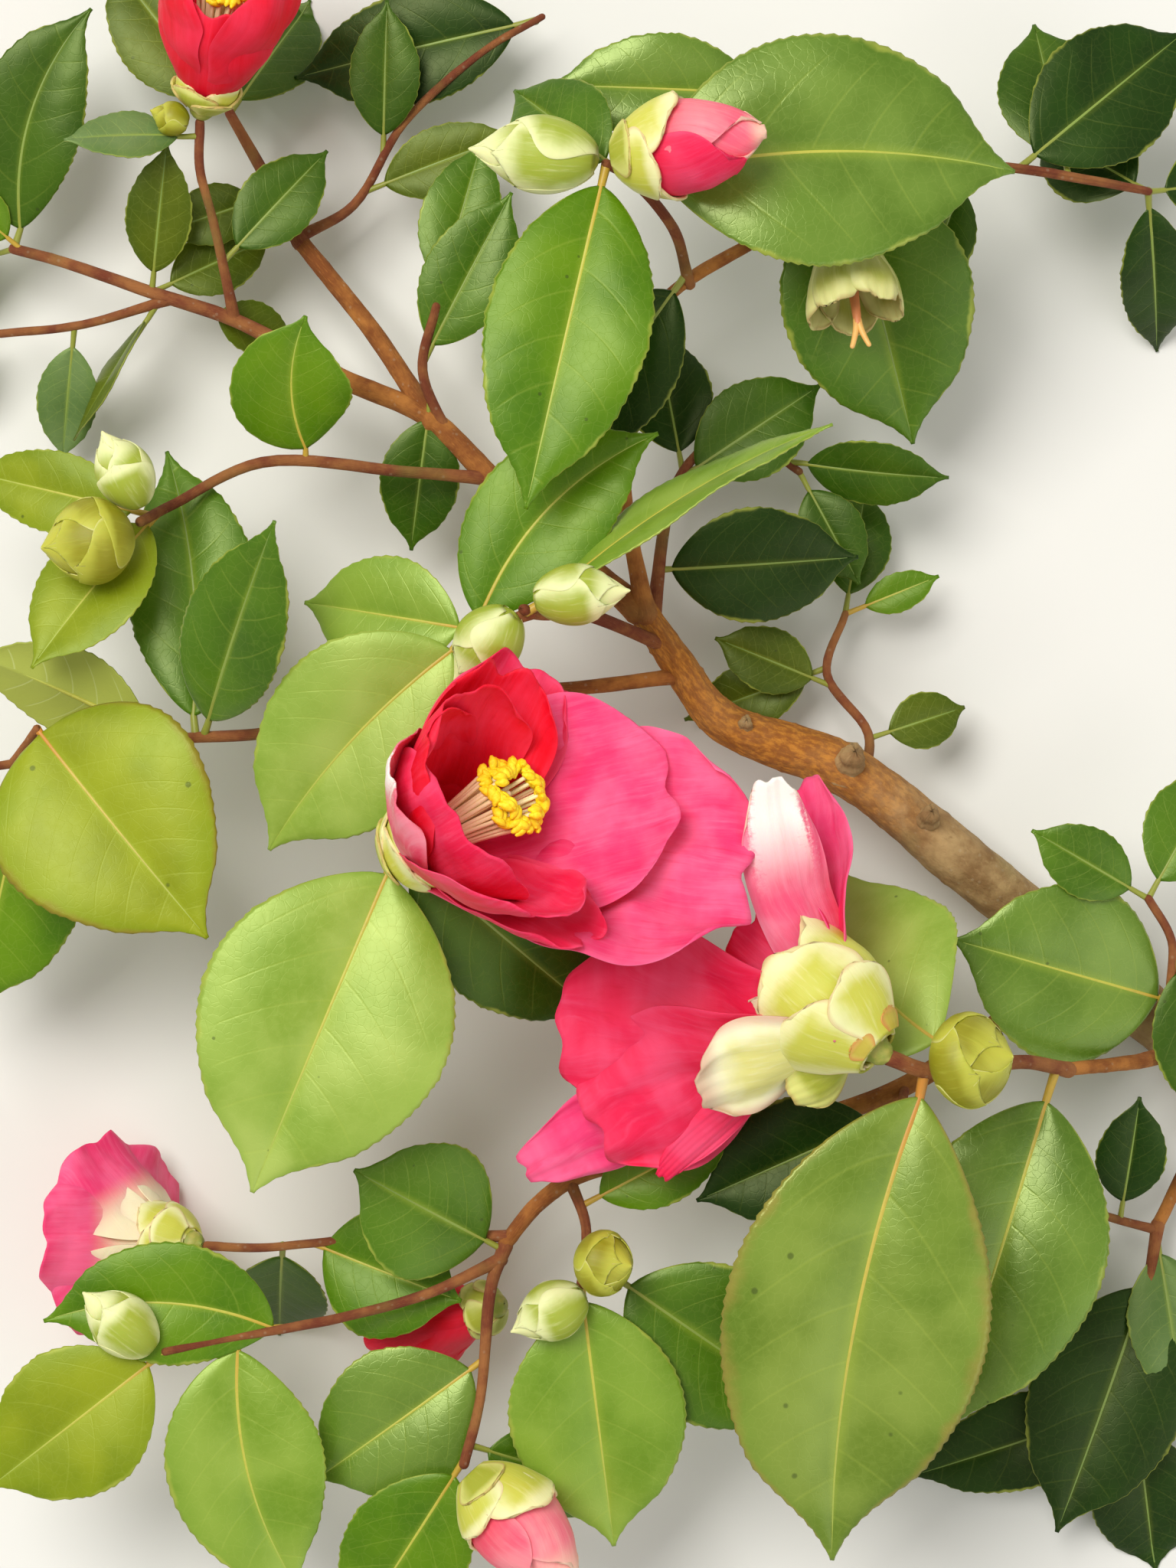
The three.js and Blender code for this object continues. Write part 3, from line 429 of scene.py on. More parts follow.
def petal_finish(name, base, light, deep, white=None, white_from=0.5, pale_tip=None, pale_foot=None):
    """A petal: a plain base colour with streaks along it, painted shade inside near the foot, a lighter rim.
    Where it has some, white is a band of half width `white` along the middle, with a speckled edge, from
    `white_from` on. The last `pale_tip` and the first `pale_foot` of its length may be pale."""
    n = Nodes(name)
    lay = n.read("lay", vector=True)
    along, across, inner = n.read("along"), n.math("ABSOLUTE", n.read("across")), n.read("inner")
    streak = n.noise(n.stretch(lay, (0.9, 0.07, 1.0)), 1.0, 5.0, 0.6)
    cloud = n.noise(lay, 0.09, 3.0)
    crumb = n.noise(lay, 1.6, 3.0, 0.7)
    colour = n.mix(n.ease(cloud, 0.35, 0.7, 0.0, 0.6), base, light)
    colour = n.mix(n.ease(streak, 0.45, 0.75, 0.0, 0.45), colour, light)
    colour = n.mix(n.ease(streak, 0.45, 0.25, 0.0, 0.4), colour, deep)
    # Painted shade: deeper colour near the foot, stronger on the inner face, where the petals shade the cup
    foot = n.times(n.ease(along, 0.75, 0.1), n.ease(inner, 0.0, 1.0, 0.35, 0.85))
    colour = n.mix(foot, colour, deep)
    colour = n.mix(n.ease(across, 0.9, 1.0, 0.0, 0.35), colour, light)
    if pale_foot:
        colour = n.mix(n.ease(along, pale_foot, pale_foot * 0.4, 0.0, 0.9), colour, "#fbf0c8")
    if pale_tip:
        colour = n.mix(n.ease(along, 1.0 - pale_tip, 1.0, 0.0, 0.8), colour, "#f6d3b4")
    if white:
        edge = n.plus(across, n.about_zero(crumb, 0.55))
        edge = n.plus(edge, n.about_zero(streak, 0.7))
        lengthwise = n.ease(along, white_from, white_from + 0.36)
        band = n.times(n.ease(edge, white, white - 0.35), lengthwise)
        colour = n.mix(band, colour, "#fff3ea")
    n.bump(n.plus(streak, n.times(crumb, 0.25)), 0.45, 0.3)
    return n.finish(colour, 0.55, Specular_IOR_Level=0.3, Specular_Tint=(1.0, 0.5, 0.6, 1.0),
                    Subsurface_Weight=0.12, Subsurface_Scale=0.003)


def bract_finish(name, base, pale, rim, rim_from=0.86, tip_from=None):
    """A bract or a bud's scale: green in the middle, pale towards its rim, with fine streaks and an edge of
    the rim's colour from `rim_from` on. A bud is pale from the `tip_from` share of its length."""
    n = Nodes(name)
    lay = n.read("lay", vector=True)
    along, across = n.read("along"), n.math("ABSOLUTE", n.read("across"))
    streak = n.noise(n.stretch(lay, (1.1, 0.12, 1.0)), 1.0, 4.0, 0.6)
    cloud = n.noise(lay, 0.16, 3.0)
    outer = n.math("MAXIMUM", across, n.ease(along, 0.45, 1.0))
    outer = n.plus(outer, n.about_zero(cloud, 0.5))
    colour = n.mix(n.ease(outer, 0.35, 0.95), base, pale)
    colour = n.mix(n.ease(streak, 0.5, 0.75, 0.0, 0.35), colour, pale)
    colour = n.mix(n.ease(streak, 0.42, 0.25, 0.0, 0.3), colour, base)
    if tip_from:
        colour = n.mix(n.ease(n.read("run"), tip_from, tip_from + 0.3, 0.0, 0.85), colour, pale)
    edge = n.math("MAXIMUM", n.ease(across, rim_from, 1.0), n.ease(along, rim_from + 0.06, 1.0))
    colour = n.mix(n.times(edge, 0.6), colour, rim)
    n.bump(n.plus(streak, n.times(cloud, 0.5)), 0.35, 0.25)
    return n.finish(colour, 0.5, Specular_IOR_Level=0.4, Subsurface_Weight=0.08, Subsurface_Scale=0.002)


def plain_finish(name, base, light, scale, rough):
    """A small soft part: two close colours in fine clouds."""
    n = Nodes(name)
    cloud = n.noise(n.place(), scale, 4.0)
    colour = n.mix(n.ease(cloud, 0.35, 0.7), base, light)
    n.bump(cloud, 0.3, 0.2)
    return n.finish(colour, rough)


# Boughs: points of the plan with heights, and the radius at each
cut_inward, cut_left, cut_up = bearing(CUT_HEADING, 0)
BOUGHS = {
    "main_bough": {
        "from": [cut_centre, cut_centre + cut_inward * FIRST_RUN],
        "way": [(84, -19, 18), (56, 3, 26), (29, 14, 32), (19, 27, 36), (11, 39, 40)],
        "radii": [CUT_RADIUS, 6.6, 6.3, 6, 4.8, 3.7, 3],
    },
    "west_bough": {
        "way": [(11, 38, 40), (-5, 51.5, 38), (-21, 66.5, 34), (-35, 80, 30), (-53, 88, 28),
                (-61, 92.5, 27.5)],
        "radii": [2.6, 2.6, 2.5, 2.4, 2.2, 2],
    },
    "upper_bough": {
        "way": [(-34, 79, 30), (-46.5, 98, 24), (-56, 110, 22.5), (-62.5, 118, 22)],
        "radii": [2.2, 2.2, 2, 1.9],
    },
    "north_bough": {
        "way": [(12.5, 37, 41), (8, 63, 45), (8, 84, 46), (15.5, 104, 48), (37, 118.5, 50), (60, 130, 46)],
        "radii": [2, 1.7, 1.5, 1.4, 1.3, 1.2],
    },
    "left_bough": {
        "way": [(23, 24, 35), (-1, 21, 40), (-28, 19, 46), (-53, 15, 50)],
        "radii": [1.8, 1.6, 1.5, 1.4],
    },
    "right_bough": {
        "way": [(138, -62, 8), (128, -59, 20), (119, -60.5, 32), (105, -62, 47)],
        "radii": [2, 1.8, 1.6, 1.5],
    },
    "right_lower_bough": {
        "way": [(141, -66, 6), (133, -78, 7), (127, -90, 10), (124, -96, 12)],
        "radii": [1.8, 1.6, 1.5, 1.4],
    },
    "lower_bough": {
        "way": [(108, -38, 12), (88.5, -52.5, 24), (68.5, -66, 34), (39, -76, 42), (15, -81, 44),
                (-1.5, -85, 46), (-11, -91.5, 46), (-18, -100, 46)],
        "radii": [2.6, 2.4, 2.3, 2.1, 1.9, 1.8, 1.7, 1.6],
    },
}

# Sprays: each twig's way and radii, and its leaves as place on the twig, heading, rise, length, width, tint
# and what else leaf_parts takes
SPRAYS = {
    "spray_centre": [
        ([(17, 30, 37), (-1, 37, 58), (-11, 37, 75), (-14, 38, 80)], [1.5, 1.4, 1.3, 1.2], [
            (0.93, 31, 4, 68, 20, "bright", {"roll": -66, "stalk": 8, "swing": 0.05}),
        ]),
        ([(-12.5, 37.2, 77.5), (-21, 34, 75), (-27, 32.5, 72.5)], [1.2, 1.1, 1], [
            (1, 46, 0, 55, 29, "fresh", {"swing": 0.1, "roll": -8}),
            (0.95, 227, -12, 60, 40, "light", {"curl": 18, "swing": -0.045}),
            (0.7, 170, -24, 38, 26, "bright", {}),
        ]),
    ],
    "spray_bloom": [
        ([(-28, 19, 46), (-35, 4, 56), (-40, -9, 67), (-42.5, -17, 73)], [1.3, 1.2, 1.2, 1.2], [
            (0.96, 247, 0, 74, 55, "light", {"curl": 20, "stalk": 4}),
            (0.86, -41, -22, 58, 31, "deep", {}),
        ]),
    ],
    "spray_left_buds": [
        ([(-21, 66.5, 34), (-40, 68, 39), (-71, 70, 43), (-90, 61, 50), (-97.5, 57, 64)],
         [1.4, 1.3, 1.2, 1.1, 1.1], [
            (0.42, 88, 26, 31, 27, "fresh", {"stalk": 3, "swing": 0.1}),
            (0.85, 233, 16, 41, 24, "sunlit", {"roll": 20, "stalk": 4}),
            (0.9, 166, -16, 40, 18, "sunlit", {}),
        ]),
    ],
    "spray_left_end": [
        ([(-53, 15, 50), (-71, 11, 52), (-87, 10, 53), (-103, 8, 53), (-128, 4, 52), (-135, 3, 51)],
         [1.3, 1.3, 1.2, 1.1, 1, 0.9], [
            (0.36, 68, 34, 54, 24, "mid", {"roll": -12}),
            (0.38, 97, -13, 61, 29, "mid", {"swing": -0.05}),
            (0.46, 156, 4, 42, 22, "sunlit", {"roll": 150}),
            (0.74, 256, -14, 54, 36, "fresh", {}),
            (1, 188, -6, 30, 19, "mid", {}),
        ]),
        ([(-125, 4.5, 52), (-122, 9, 58), (-120, 12, 62)], [1, 0.9, 0.9], [
            (1, -50, 8, 58, 50, "flecked", {"stalk": 1.5, "belly": 0.36, "curl": 22}),
        ]),
    ],
    "spray_far_left": [
        ([(-61.5, 93, 27.5), (-77, 101, 27), (-95, 107, 25), (-114, 113.5, 22), (-125, 116.5, 20)],
         [1.8, 1.6, 1.5, 1.3, 1.2], [
            (0.5, 81, 24, 30, 15, "olive", {}),
            (0.5, 27, -16, 26, 15, "olive", {}),
            (0.36, -18, -30, 20, 12, "olive", {}),
            (0.95, 140, 20, 16, 12, "fresh", {}),
            (1, 70, 12, 52, 25, "deep", {"swing": 0.1, "curl": 24}),
            (1, 190, -34, 34, 20, "mid", {}),
        ]),
        ([(-91, 105.5, 25.5), (-110, 100, 22), (-128, 98, 18)], [1.1, 1, 0.9], [
            (0.08, 237, -14, 32, 14, "olive", {"roll": 68, "swing": 0.1}),
            (0.55, 262, -22, 27, 14, "grey", {}),
            (1, 205, -14, 26, 16, "mid", {}),
        ]),
    ],
    "spray_high_left": [
        ([(-77, 101, 27), (-79, 111, 31), (-82, 124, 37), (-84.5, 134, 41), (-84.5, 144, 44)],
         [1.2, 1.1, 1, 1, 1], [
            (0.93, 184, 12, 25, 13, "grey", {"roll": 30}),
            (0.3, 48, -8, 30, 17, "deep", {}),
        ]),
    ],
    "spray_upper": [
        ([(-62.5, 118, 22), (-69.5, 131, 22), (-78, 146, 20)], [1.7, 1.5, 1.2], [
            (0.4, 200, 8, 22, 14, "olive", {}),
            (1, 128, -4, 40, 24, "olive", {}),
            (1, 60, -34, 36, 20, "deep", {}),
        ]),
        ([(-63, 119, 22), (-51, 126, 20), (-40, 144, 20), (-22, 160, 20), (-10, 167, 20)],
         [1.2, 1.1, 1, 0.9, 0.8], [
            (0.97, 192, -8, 52, 26, "dark", {}),
            (0.4, 88, 10, 30, 16, "deep", {}),
            (0.3, 20, 5, 32, 16, "olive", {}),
        ]),
    ],
    "spray_top_middle": [
        ([(-30, 75, 31), (-36, 90, 34), (-33, 104, 37)], [1.2, 1.1, 1], [
            (0.55, 62, 6, 38, 20, "mid", {}),
            (1, 75, -6, 34, 18, "mid", {}),
            (0.3, 262, -14, 30, 18, "deep", {}),
        ]),
    ],
    "spray_top": [
        ([(22, 109, 49), (18.5, 121, 63), (9, 132, 76), (4, 135, 82)], [1.2, 1.2, 1.1, 1.1], [
            (1, 257, 5, 71, 35, "fresh", {"curl": 20}),
            (0.76, 1, -6, 77, 50, "glossy", {"swing": 0.05, "stalk": 8, "curl": 18, "roll": -3}),
            (0.8, 138, -34, 32, 22, "mid", {}),
            (0.06, 234, -5, 48, 26, "dark", {}),
        ]),
    ],
    "spray_top_right": [
        ([(60, 130, 46), (85, 134.5, 44), (109, 131.5, 40), (122, 129, 36)], [1.1, 1.1, 1, 0.9], [
            (0.3, 251, -16, 27, 15, "deep", {}),
            (0.45, 40, -12, 46, 30, "dark", {}),
            (0.6, 100, -20, 34, 24, "deep", {}),
            (1, 145, -30, 28, 22, "dark", {"stalk": 4}),
            (1, -78, -48, 44, 16, "dark", {}),
            (1, 10, -34, 30, 20, "dark", {}),
        ]),
        ([(60, 130, 46), (52, 140, 54), (42, 150, 58)], [1, 0.9, 0.9], [
            (1, 178, 2, 46, 24, "glossy", {}),
            (0.35, -74, -16, 62, 43, "mid", {"curl": 18, "stalk": 5}),
        ]),
    ],
    "spray_inner": [
        ([(14, 35, 38), (18, 62, 32), (23, 71, 28), (32, 77, 25), (46, 68, 22)], [1.6, 1.3, 1.1, 1, 0.9], [
            (0.1, 4, -4, 42, 26, "dark", {"stalk": 3, "roll": 10}),
            (0.35, 34, -6, 34, 22, "deep", {}),
            (0.4, 100, -18, 30, 20, "dark", {}),
            (0.95, -6, 8, 32, 16, "deep", {"roll": 30}),
            (1, -62, 0, 24, 15, "deep", {}),
        ]),
    ],
    "spray_knob": [
        ([(60, 0.5, 25), (61, 11, 20), (52, 24, 17), (56, 37, 14)], [1.3, 1.1, 1, 0.9], [
            (0.3, 18, -14, 19, 13, "olive", {}),
            (0.6, 158, 6, 24, 15, "olive", {}),
            (0.7, 200, -12, 30, 15, "olive", {}),
            (1, 22, 4, 18, 9, "fresh", {}),
            (1, 80, -16, 26, 16, "deep", {}),
        ]),
    ],
    "spray_right": [
        ([(104.5, -62.2, 47.5), (94, -60.5, 61), (82, -62.5, 71), (73, -62.3, 77), (65.5, -59.5, 79.5)],
         [1.5, 1.5, 1.5, 1.7, 1.8], [
            (0.74, 260, -8, 104, 57, "aged", {"curl": 26, "swing": -0.05, "stalk": 6, "belly": 0.47}),
            (0.06, 252.5, 0, 77, 46, "glossy", {"curl": 16, "stalk": 8}),
            (0.56, 118, -38, 54, 46, "light", {"stalk": 9, "swing": 0.12}),
        ]),
    ],
    "spray_right_edge": [
        ([(132, -57, 9), (130, -52, 22), (127, -46, 28), (127, -34, 32), (122, -25, 35)],
         [1.3, 1.2, 1.1, 1, 1], [
            (0.45, 164, 12, 50, 41, "glossy", {"stalk": 4}),
            (0.7, -72, -8, 38, 22, "deep", {}),
            (1, 150, 8, 26, 16, "mid", {}),
            (1, 60, -12, 30, 20, "mid", {}),
        ]),
    ],
    "spray_right_lower": [
        ([(124, -96, 12), (121.5, -113, 14), (119, -137, 15)], [1.3, 1.2, 1], [
            (0.28, 250, 2, 59, 36, "dark", {}),
            (0.05, -82, 6, 36, 20, "grey", {}),
            (1, -80, -24, 38, 26, "dark", {}),
            (0.95, 200, -10, 50, 22, "dark", {}),
        ]),
        ([(123.5, -97, 12), (111, -93.5, 20), (103, -90, 24)], [1, 0.9, 0.8], [
            (0.3, 84, 20, 26, 16, "dark", {}),
            (1, 210, -24, 30, 18, "deep", {}),
        ]),
    ],
    "spray_under": [
        ([(69, -66, 34), (68, -70, 44), (66, -72, 47)], [1, 0.9, 0.9], [
            (1, 204, -2, 42, 27, "dark", {}),
        ]),
    ],
    "spray_bottom_middle": [
        ([(-4, -86, 46), (-0.5, -96, 50), (-1, -106, 54), (-1.5, -109, 55)], [1.2, 1.1, 1.1, 1.1], [
            (1, 277, -9, 56, 39, "bright", {"stalk": 4}),
            (0.55, -35, -8, 50, 36, "mid", {"stalk": 12}),
            (0.2, 28, -2, 34, 18, "fresh", {}),
        ]),
    ],
    "spray_bottom": [
        ([(-18, -100.5, 46), (-21, -109, 47), (-23.5, -134, 50), (-27, -148, 54)], [1.4, 1.3, 1.2, 1.2], [
            (0.04, 150, 16, 34, 32, "mid", {}),
            (0.55, 216, -6, 43, 33, "glossy", {"stalk": 4}),
            (0.97, 238, -14, 45, 28, "fresh", {}),
            (0.9, -20, -26, 36, 22, "mid", {}),
        ]),
    ],
    "spray_bottom_left": [
        ([(-19, -103.5, 46.4), (-35, -111, 49), (-53, -116, 51), (-63, -118, 53), (-77, -120.5, 55),
          (-92, -123.5, 57)], [1.3, 1.2, 1.1, 1.1, 1, 1], [
            (0.64, 178, 2, 50, 27, "fresh", {"swing": -0.1, "stalk": 3}),
            (1, 218, -6, 45, 33, "sunlit", {}),
            (0.8, 284, -6, 56, 35, "bright", {"swing": -0.08, "stalk": 3}),
        ]),
    ],
    "spray_lower_left": [
        ([(-17, -98.5, 46), (-41, -98, 41), (-60, -100, 38), (-73, -101, 36), (-83, -100.5, 34.5)],
         [1.2, 1.1, 1, 1, 1], [
            (0.5, -20, 9, 33, 30, "fresh", {"stalk": 3}),
            (0.62, 262, -58, 42, 22, "deep", {}),
        ]),
    ],
}

# Leaf colours: base, younger cloud, underside, roughness above, and what else leaf_finish takes
TINTS = {
    "sunlit": ("#77860c", "#8e9918", "#a3ab4c", 0.42, {"shine": 0.55}),
    # Painted sheen: the light and bright tints are the leaves' own green made paler where sheen lay on them
    "light": ("#86a038", "#a2b656", "#a8b864", 0.36, {"shine": 0.8}),
    "bright": ("#6e8e20", "#8aa43c", "#9cae58", 0.34, {}),
    "fresh": ("#4a7208", "#60840c", "#8aa04c", 0.36, {"shine": 0.5}),
    "glossy": ("#54721e", "#6c8832", "#869e50", 0.26, {}),
    "mid": ("#3d600c", "#507414", "#7a9248", 0.34, {"shine": 0.6}),
    # Painted shade: the deep and dark tints are the leaves' own green darkened for leaves that lie in shade
    "deep": ("#2a4a06", "#3e5e0c", "#68803c", 0.38, {"veins": 0.6, "shine": 0.5}),
    "dark": ("#0e2a06", "#1a3a08", "#567034", 0.38, {"veins": 0.4, "shine": 0.4}),
    "olive": ("#445408", "#58640c", "#788038", 0.4, {"shine": 0.5}),
    "grey": ("#54703a", "#6a824c", "#8a9c64", 0.42, {"shine": 0.6}),
    "aged": ("#627a20", "#80943a", "#98a854", 0.3,
             {"margin": "#98803a", "margin_from": 0.86, "speck_size": 0.1}),
    "flecked": ("#7d870a", "#929c18", "#a3ab4c", 0.42,
                {"margin": "#8a6a2c", "margin_from": 0.88, "speck_size": 0.09, "shine": 0.55}),
}
RIBS = {  # colours at the stalk, the middle and the tip, and the tints that have them
    "amber": (("#c8842c", "#c4b044", "#a4b24a"), ("aged", "flecked")),
    "gold": (("#c4a036", "#bdb944", "#a2b44a"), ("sunlit", "light", "bright", "fresh", "glossy")),
    "green": (("#8f9434", "#849a42", "#6f8a3c"), ("mid", "deep", "dark", "olive", "grey")),
}


def leaf_outline(u, belly):
    """Half width of a leaf as a share of its greatest: a sine arch whose top is at the belly, narrowed near
    the tip so that the tip is drawn out to a point."""
    power = np.log(0.5) / np.log(belly)
    arch = np.sin(np.pi * np.minimum(u**power, 0.9995)) ** 0.8
    return arch * (1 - 0.6 * smooth((u - 0.77) / 0.23))


def leaf_parts(node, index, heading, rise, long, wide, roll=0.0, curl=14.0, swing=0.0, stalk=5.0, belly=0.44):
    """A leaf's blade and its rib. The midrib is an arc of `curl` degrees that bows sideways by the swing.
    Each half rises from it, arches over and has a saw-toothed rim, its skin puffed up between slanting veins
    and waved a little along the rim. The rib is a thin tube from the twig to the tip, sunk in the blade."""
    forward, left, up = bearing(heading, rise, roll)
    start = node + forward * stalk
    teeth = int(long / 2.5)
    rows = 3 * teeth + 1
    u = np.linspace(0, 1, rows)[:, None]
    half_steps = [0.03, 0.1, 0.2, 0.33, 0.47, 0.61, 0.75, 0.87, 0.955, 1] if long > 45 else [
        0.05, 0.17, 0.34, 0.53, 0.72, 0.88, 0.97, 1]
    v = np.array([-s for s in half_steps[::-1]] + [0] + half_steps)[None, :]

    # The midrib, and the directions across the blade and out of it along the midrib
    arc = np.radians(curl)
    radius = long / (2 * np.sin(arc / 2))
    angle = arc * (0.5 - u)
    centre = (start + forward * (radius * (np.sin(arc / 2) - np.sin(angle)))
              + up * (radius * (np.cos(angle) - np.cos(arc / 2))) + left * (swing * long * 4 * u * (1 - u)))
    tilted = up * np.cos(angle) - forward * np.sin(angle)
    yaw = np.arctan(4 * swing * (1 - 2 * u))
    sideways = left * np.cos(yaw) - forward * np.sin(yaw)

    # The blade: its toothed outline, its veins and how far it lifts off the plane of the midrib
    tooth = (u * teeth) % 1.0
    saw = (0.3 + 0.004 * long) * (tooth - 0.35) * smooth((u - 0.1) / 0.1) * smooth((0.985 - u) / 0.04)
    half = np.maximum(wide / 2 * leaf_outline(u, belly), 0.35)
    across = v * half + np.sign(v) * saw * np.abs(v) ** 14
    phase, wave_phase = rng.uniform(0, 1), rng.uniform(0, 6.3)
    spacing = long / rng.uniform(6.0, 7.5)
    run = u * long + 0.02 * long * np.sin(9 * u + wave_phase)
    vein = (run - np.abs(across) * 0.4 - 0.5 * across**2 / (wide / 2)) / spacing + phase + 0.45 * (v > 0)
    puff = 0.0028 * long * np.abs(np.sin(np.pi * vein)) ** 0.8 * 4 * np.abs(v) * (1 - np.abs(v))
    wave = np.sin(2 * np.pi * 1.5 * u + wave_phase + 1.3 * np.sign(v)) * np.sin(np.pi * u)
    lift = half * (0.3 * np.abs(v) - 0.22 * v**2) + puff + 0.011 * long * v**2 * wave
    points = (centre[:, None, :] + sideways[:, None, :] * across[..., None]
              + tilted[:, None, :] * lift[..., None])
    points[..., 2] = np.maximum(points[..., 2], LEAF_FLOOR)
    wall = 0.42 + 0.002 * long
    blade = shell(points, wall * (1 - 0.35 * v**2), along=u, across=v, vein=vein, lay_x=across,
                  lay_y=u * long + 0 * v, lay_z=index * 31.0)

    # The rib: a stalk of four steps and the midrib, thinner towards the tip
    girth = 0.42 + 0.0062 * long
    share = np.linspace(0, 1, rows)[::3]
    size = girth * (1 - 0.78 * share)
    raised = centre[::3] + tilted[::3] * (wall / 2 - 0.62 * size)[:, None]
    stem = node + forward * stalk * np.array([[0.0], [0.25], [0.5], [0.75]])
    path = np.vstack([stem - up * (girth * 0.4), raised[:-1]])
    path[:, 2] = np.maximum(path[:, 2], RIB_FLOOR)
    size = np.concatenate([girth * np.array([1.3, 1.2, 1.12, 1.06]), size[:-1]])
    return blade, tube(path, size, sides=8, along=np.concatenate([np.zeros(len(stem)), share[:-1]]))


def limb_path(points, radii, steps_each, flare):
    """The middle line of a limb, which is a spline through the points, and its radius at each step, which
    runs straight from one given radius to the next and swells by the flare at its foot."""
    shares = np.linspace(0, 1, (len(points) - 1) * steps_each + 1)
    path = curve_points(points, shares)
    radius = np.interp(shares * (len(radii) - 1), np.arange(len(radii)), radii)
    return path, radius * (1 + flare * np.exp(-run_length(path) / FLARE_REACH))


def bark_relief(depth, seed):
    """Bark relief: sums of sines that make shallow furrows wandering along the limb, fine ones, rings at its
    old leaf scars, and lumps."""
    draw = np.random.default_rng(seed)
    phases = draw.uniform(0, 6.3, 6)
    scars = draw.uniform(7, 11)

    def relief(along, turn):
        wander = turn + 0.35 * np.sin(along / 9.0 + phases[0])
        furrow = np.sin(6 * wander + phases[1]) * np.sin(along / 5.2 + phases[2] + 2 * np.sin(turn))
        fine = np.sin(13 * wander + phases[3] + along / 3.1) * np.sin(along / 1.9 + phases[4])
        ring = np.exp(-(((along / scars) % 1.0 - 0.5) * scars / 0.5) ** 2)
        ring = ring * (0.6 + 0.4 * np.sin(turn + along))
        lump = np.sin(2 * turn + along / 12 + phases[5]) * np.sin(along / 17 + phases[1])
        return depth * (0.35 * furrow + 0.22 * fine + 0.5 * ring + 0.6 * lump)

    return relief


def stub(foot, direction, long, radius):
    """A short stump of a lost twig: a tapering tube with a swollen foot and a hollowed, rounded end."""
    share = np.linspace(0, 1, 12)
    path = foot + np.outer(share * long, direction)
    size = radius * (1.25 - 0.45 * share + 0.5 * np.exp(-share / 0.12) + 0.06 * np.sin(14 * share))
    return tube(path, size, 20, lambda along, turn: 0.25 * np.sin(3 * turn + 1) + 0.12 * np.sin(7 * turn))


# Flowers: every bloom and bud has a foot, an axis, and turns counted from the level left of the axis
def flower_frame(foot, heading, rise):
    """place(across, turn, along) is a point that far off the axis, at that turn, that far from the foot, and
    tangent(turn) points the way in which the turn grows."""
    forward, left, up = bearing(heading, rise)

    def place(across, turn, along):
        across, turn, along = np.broadcast_arrays(across, np.radians(turn), along)
        return (foot + forward * along[..., None] + left * (across * np.cos(turn))[..., None]
                + up * (across * np.sin(turn))[..., None])

    def tangent(turn):
        turn = np.radians(np.asarray(turn, float))
        return up * np.cos(turn)[..., None] - left * np.sin(turn)[..., None]

    return place, tangent


def crumple(x, y, seed):
    """Folds like those of thin crushed skin: a sum of five trains of rounded ridges, 1 - |sin|, that run in
    different directions, 9 to 22 mm apart, and waver as they go."""
    draw = np.random.default_rng(seed)
    total = 0.0
    for _ in range(5):
        heading, spacing, phase = draw.uniform(0, np.pi), draw.uniform(9, 22), draw.uniform(0, 6.3)
        beside = y * np.cos(heading) - x * np.sin(heading)
        run = x * np.cos(heading) + y * np.sin(heading) + 2.5 * np.sin(beside / 7 + phase)
        total = total + spacing / 22 * (0.65 - np.sqrt(np.sin(np.pi * run / spacing + phase) ** 2 + 0.03))
    return total


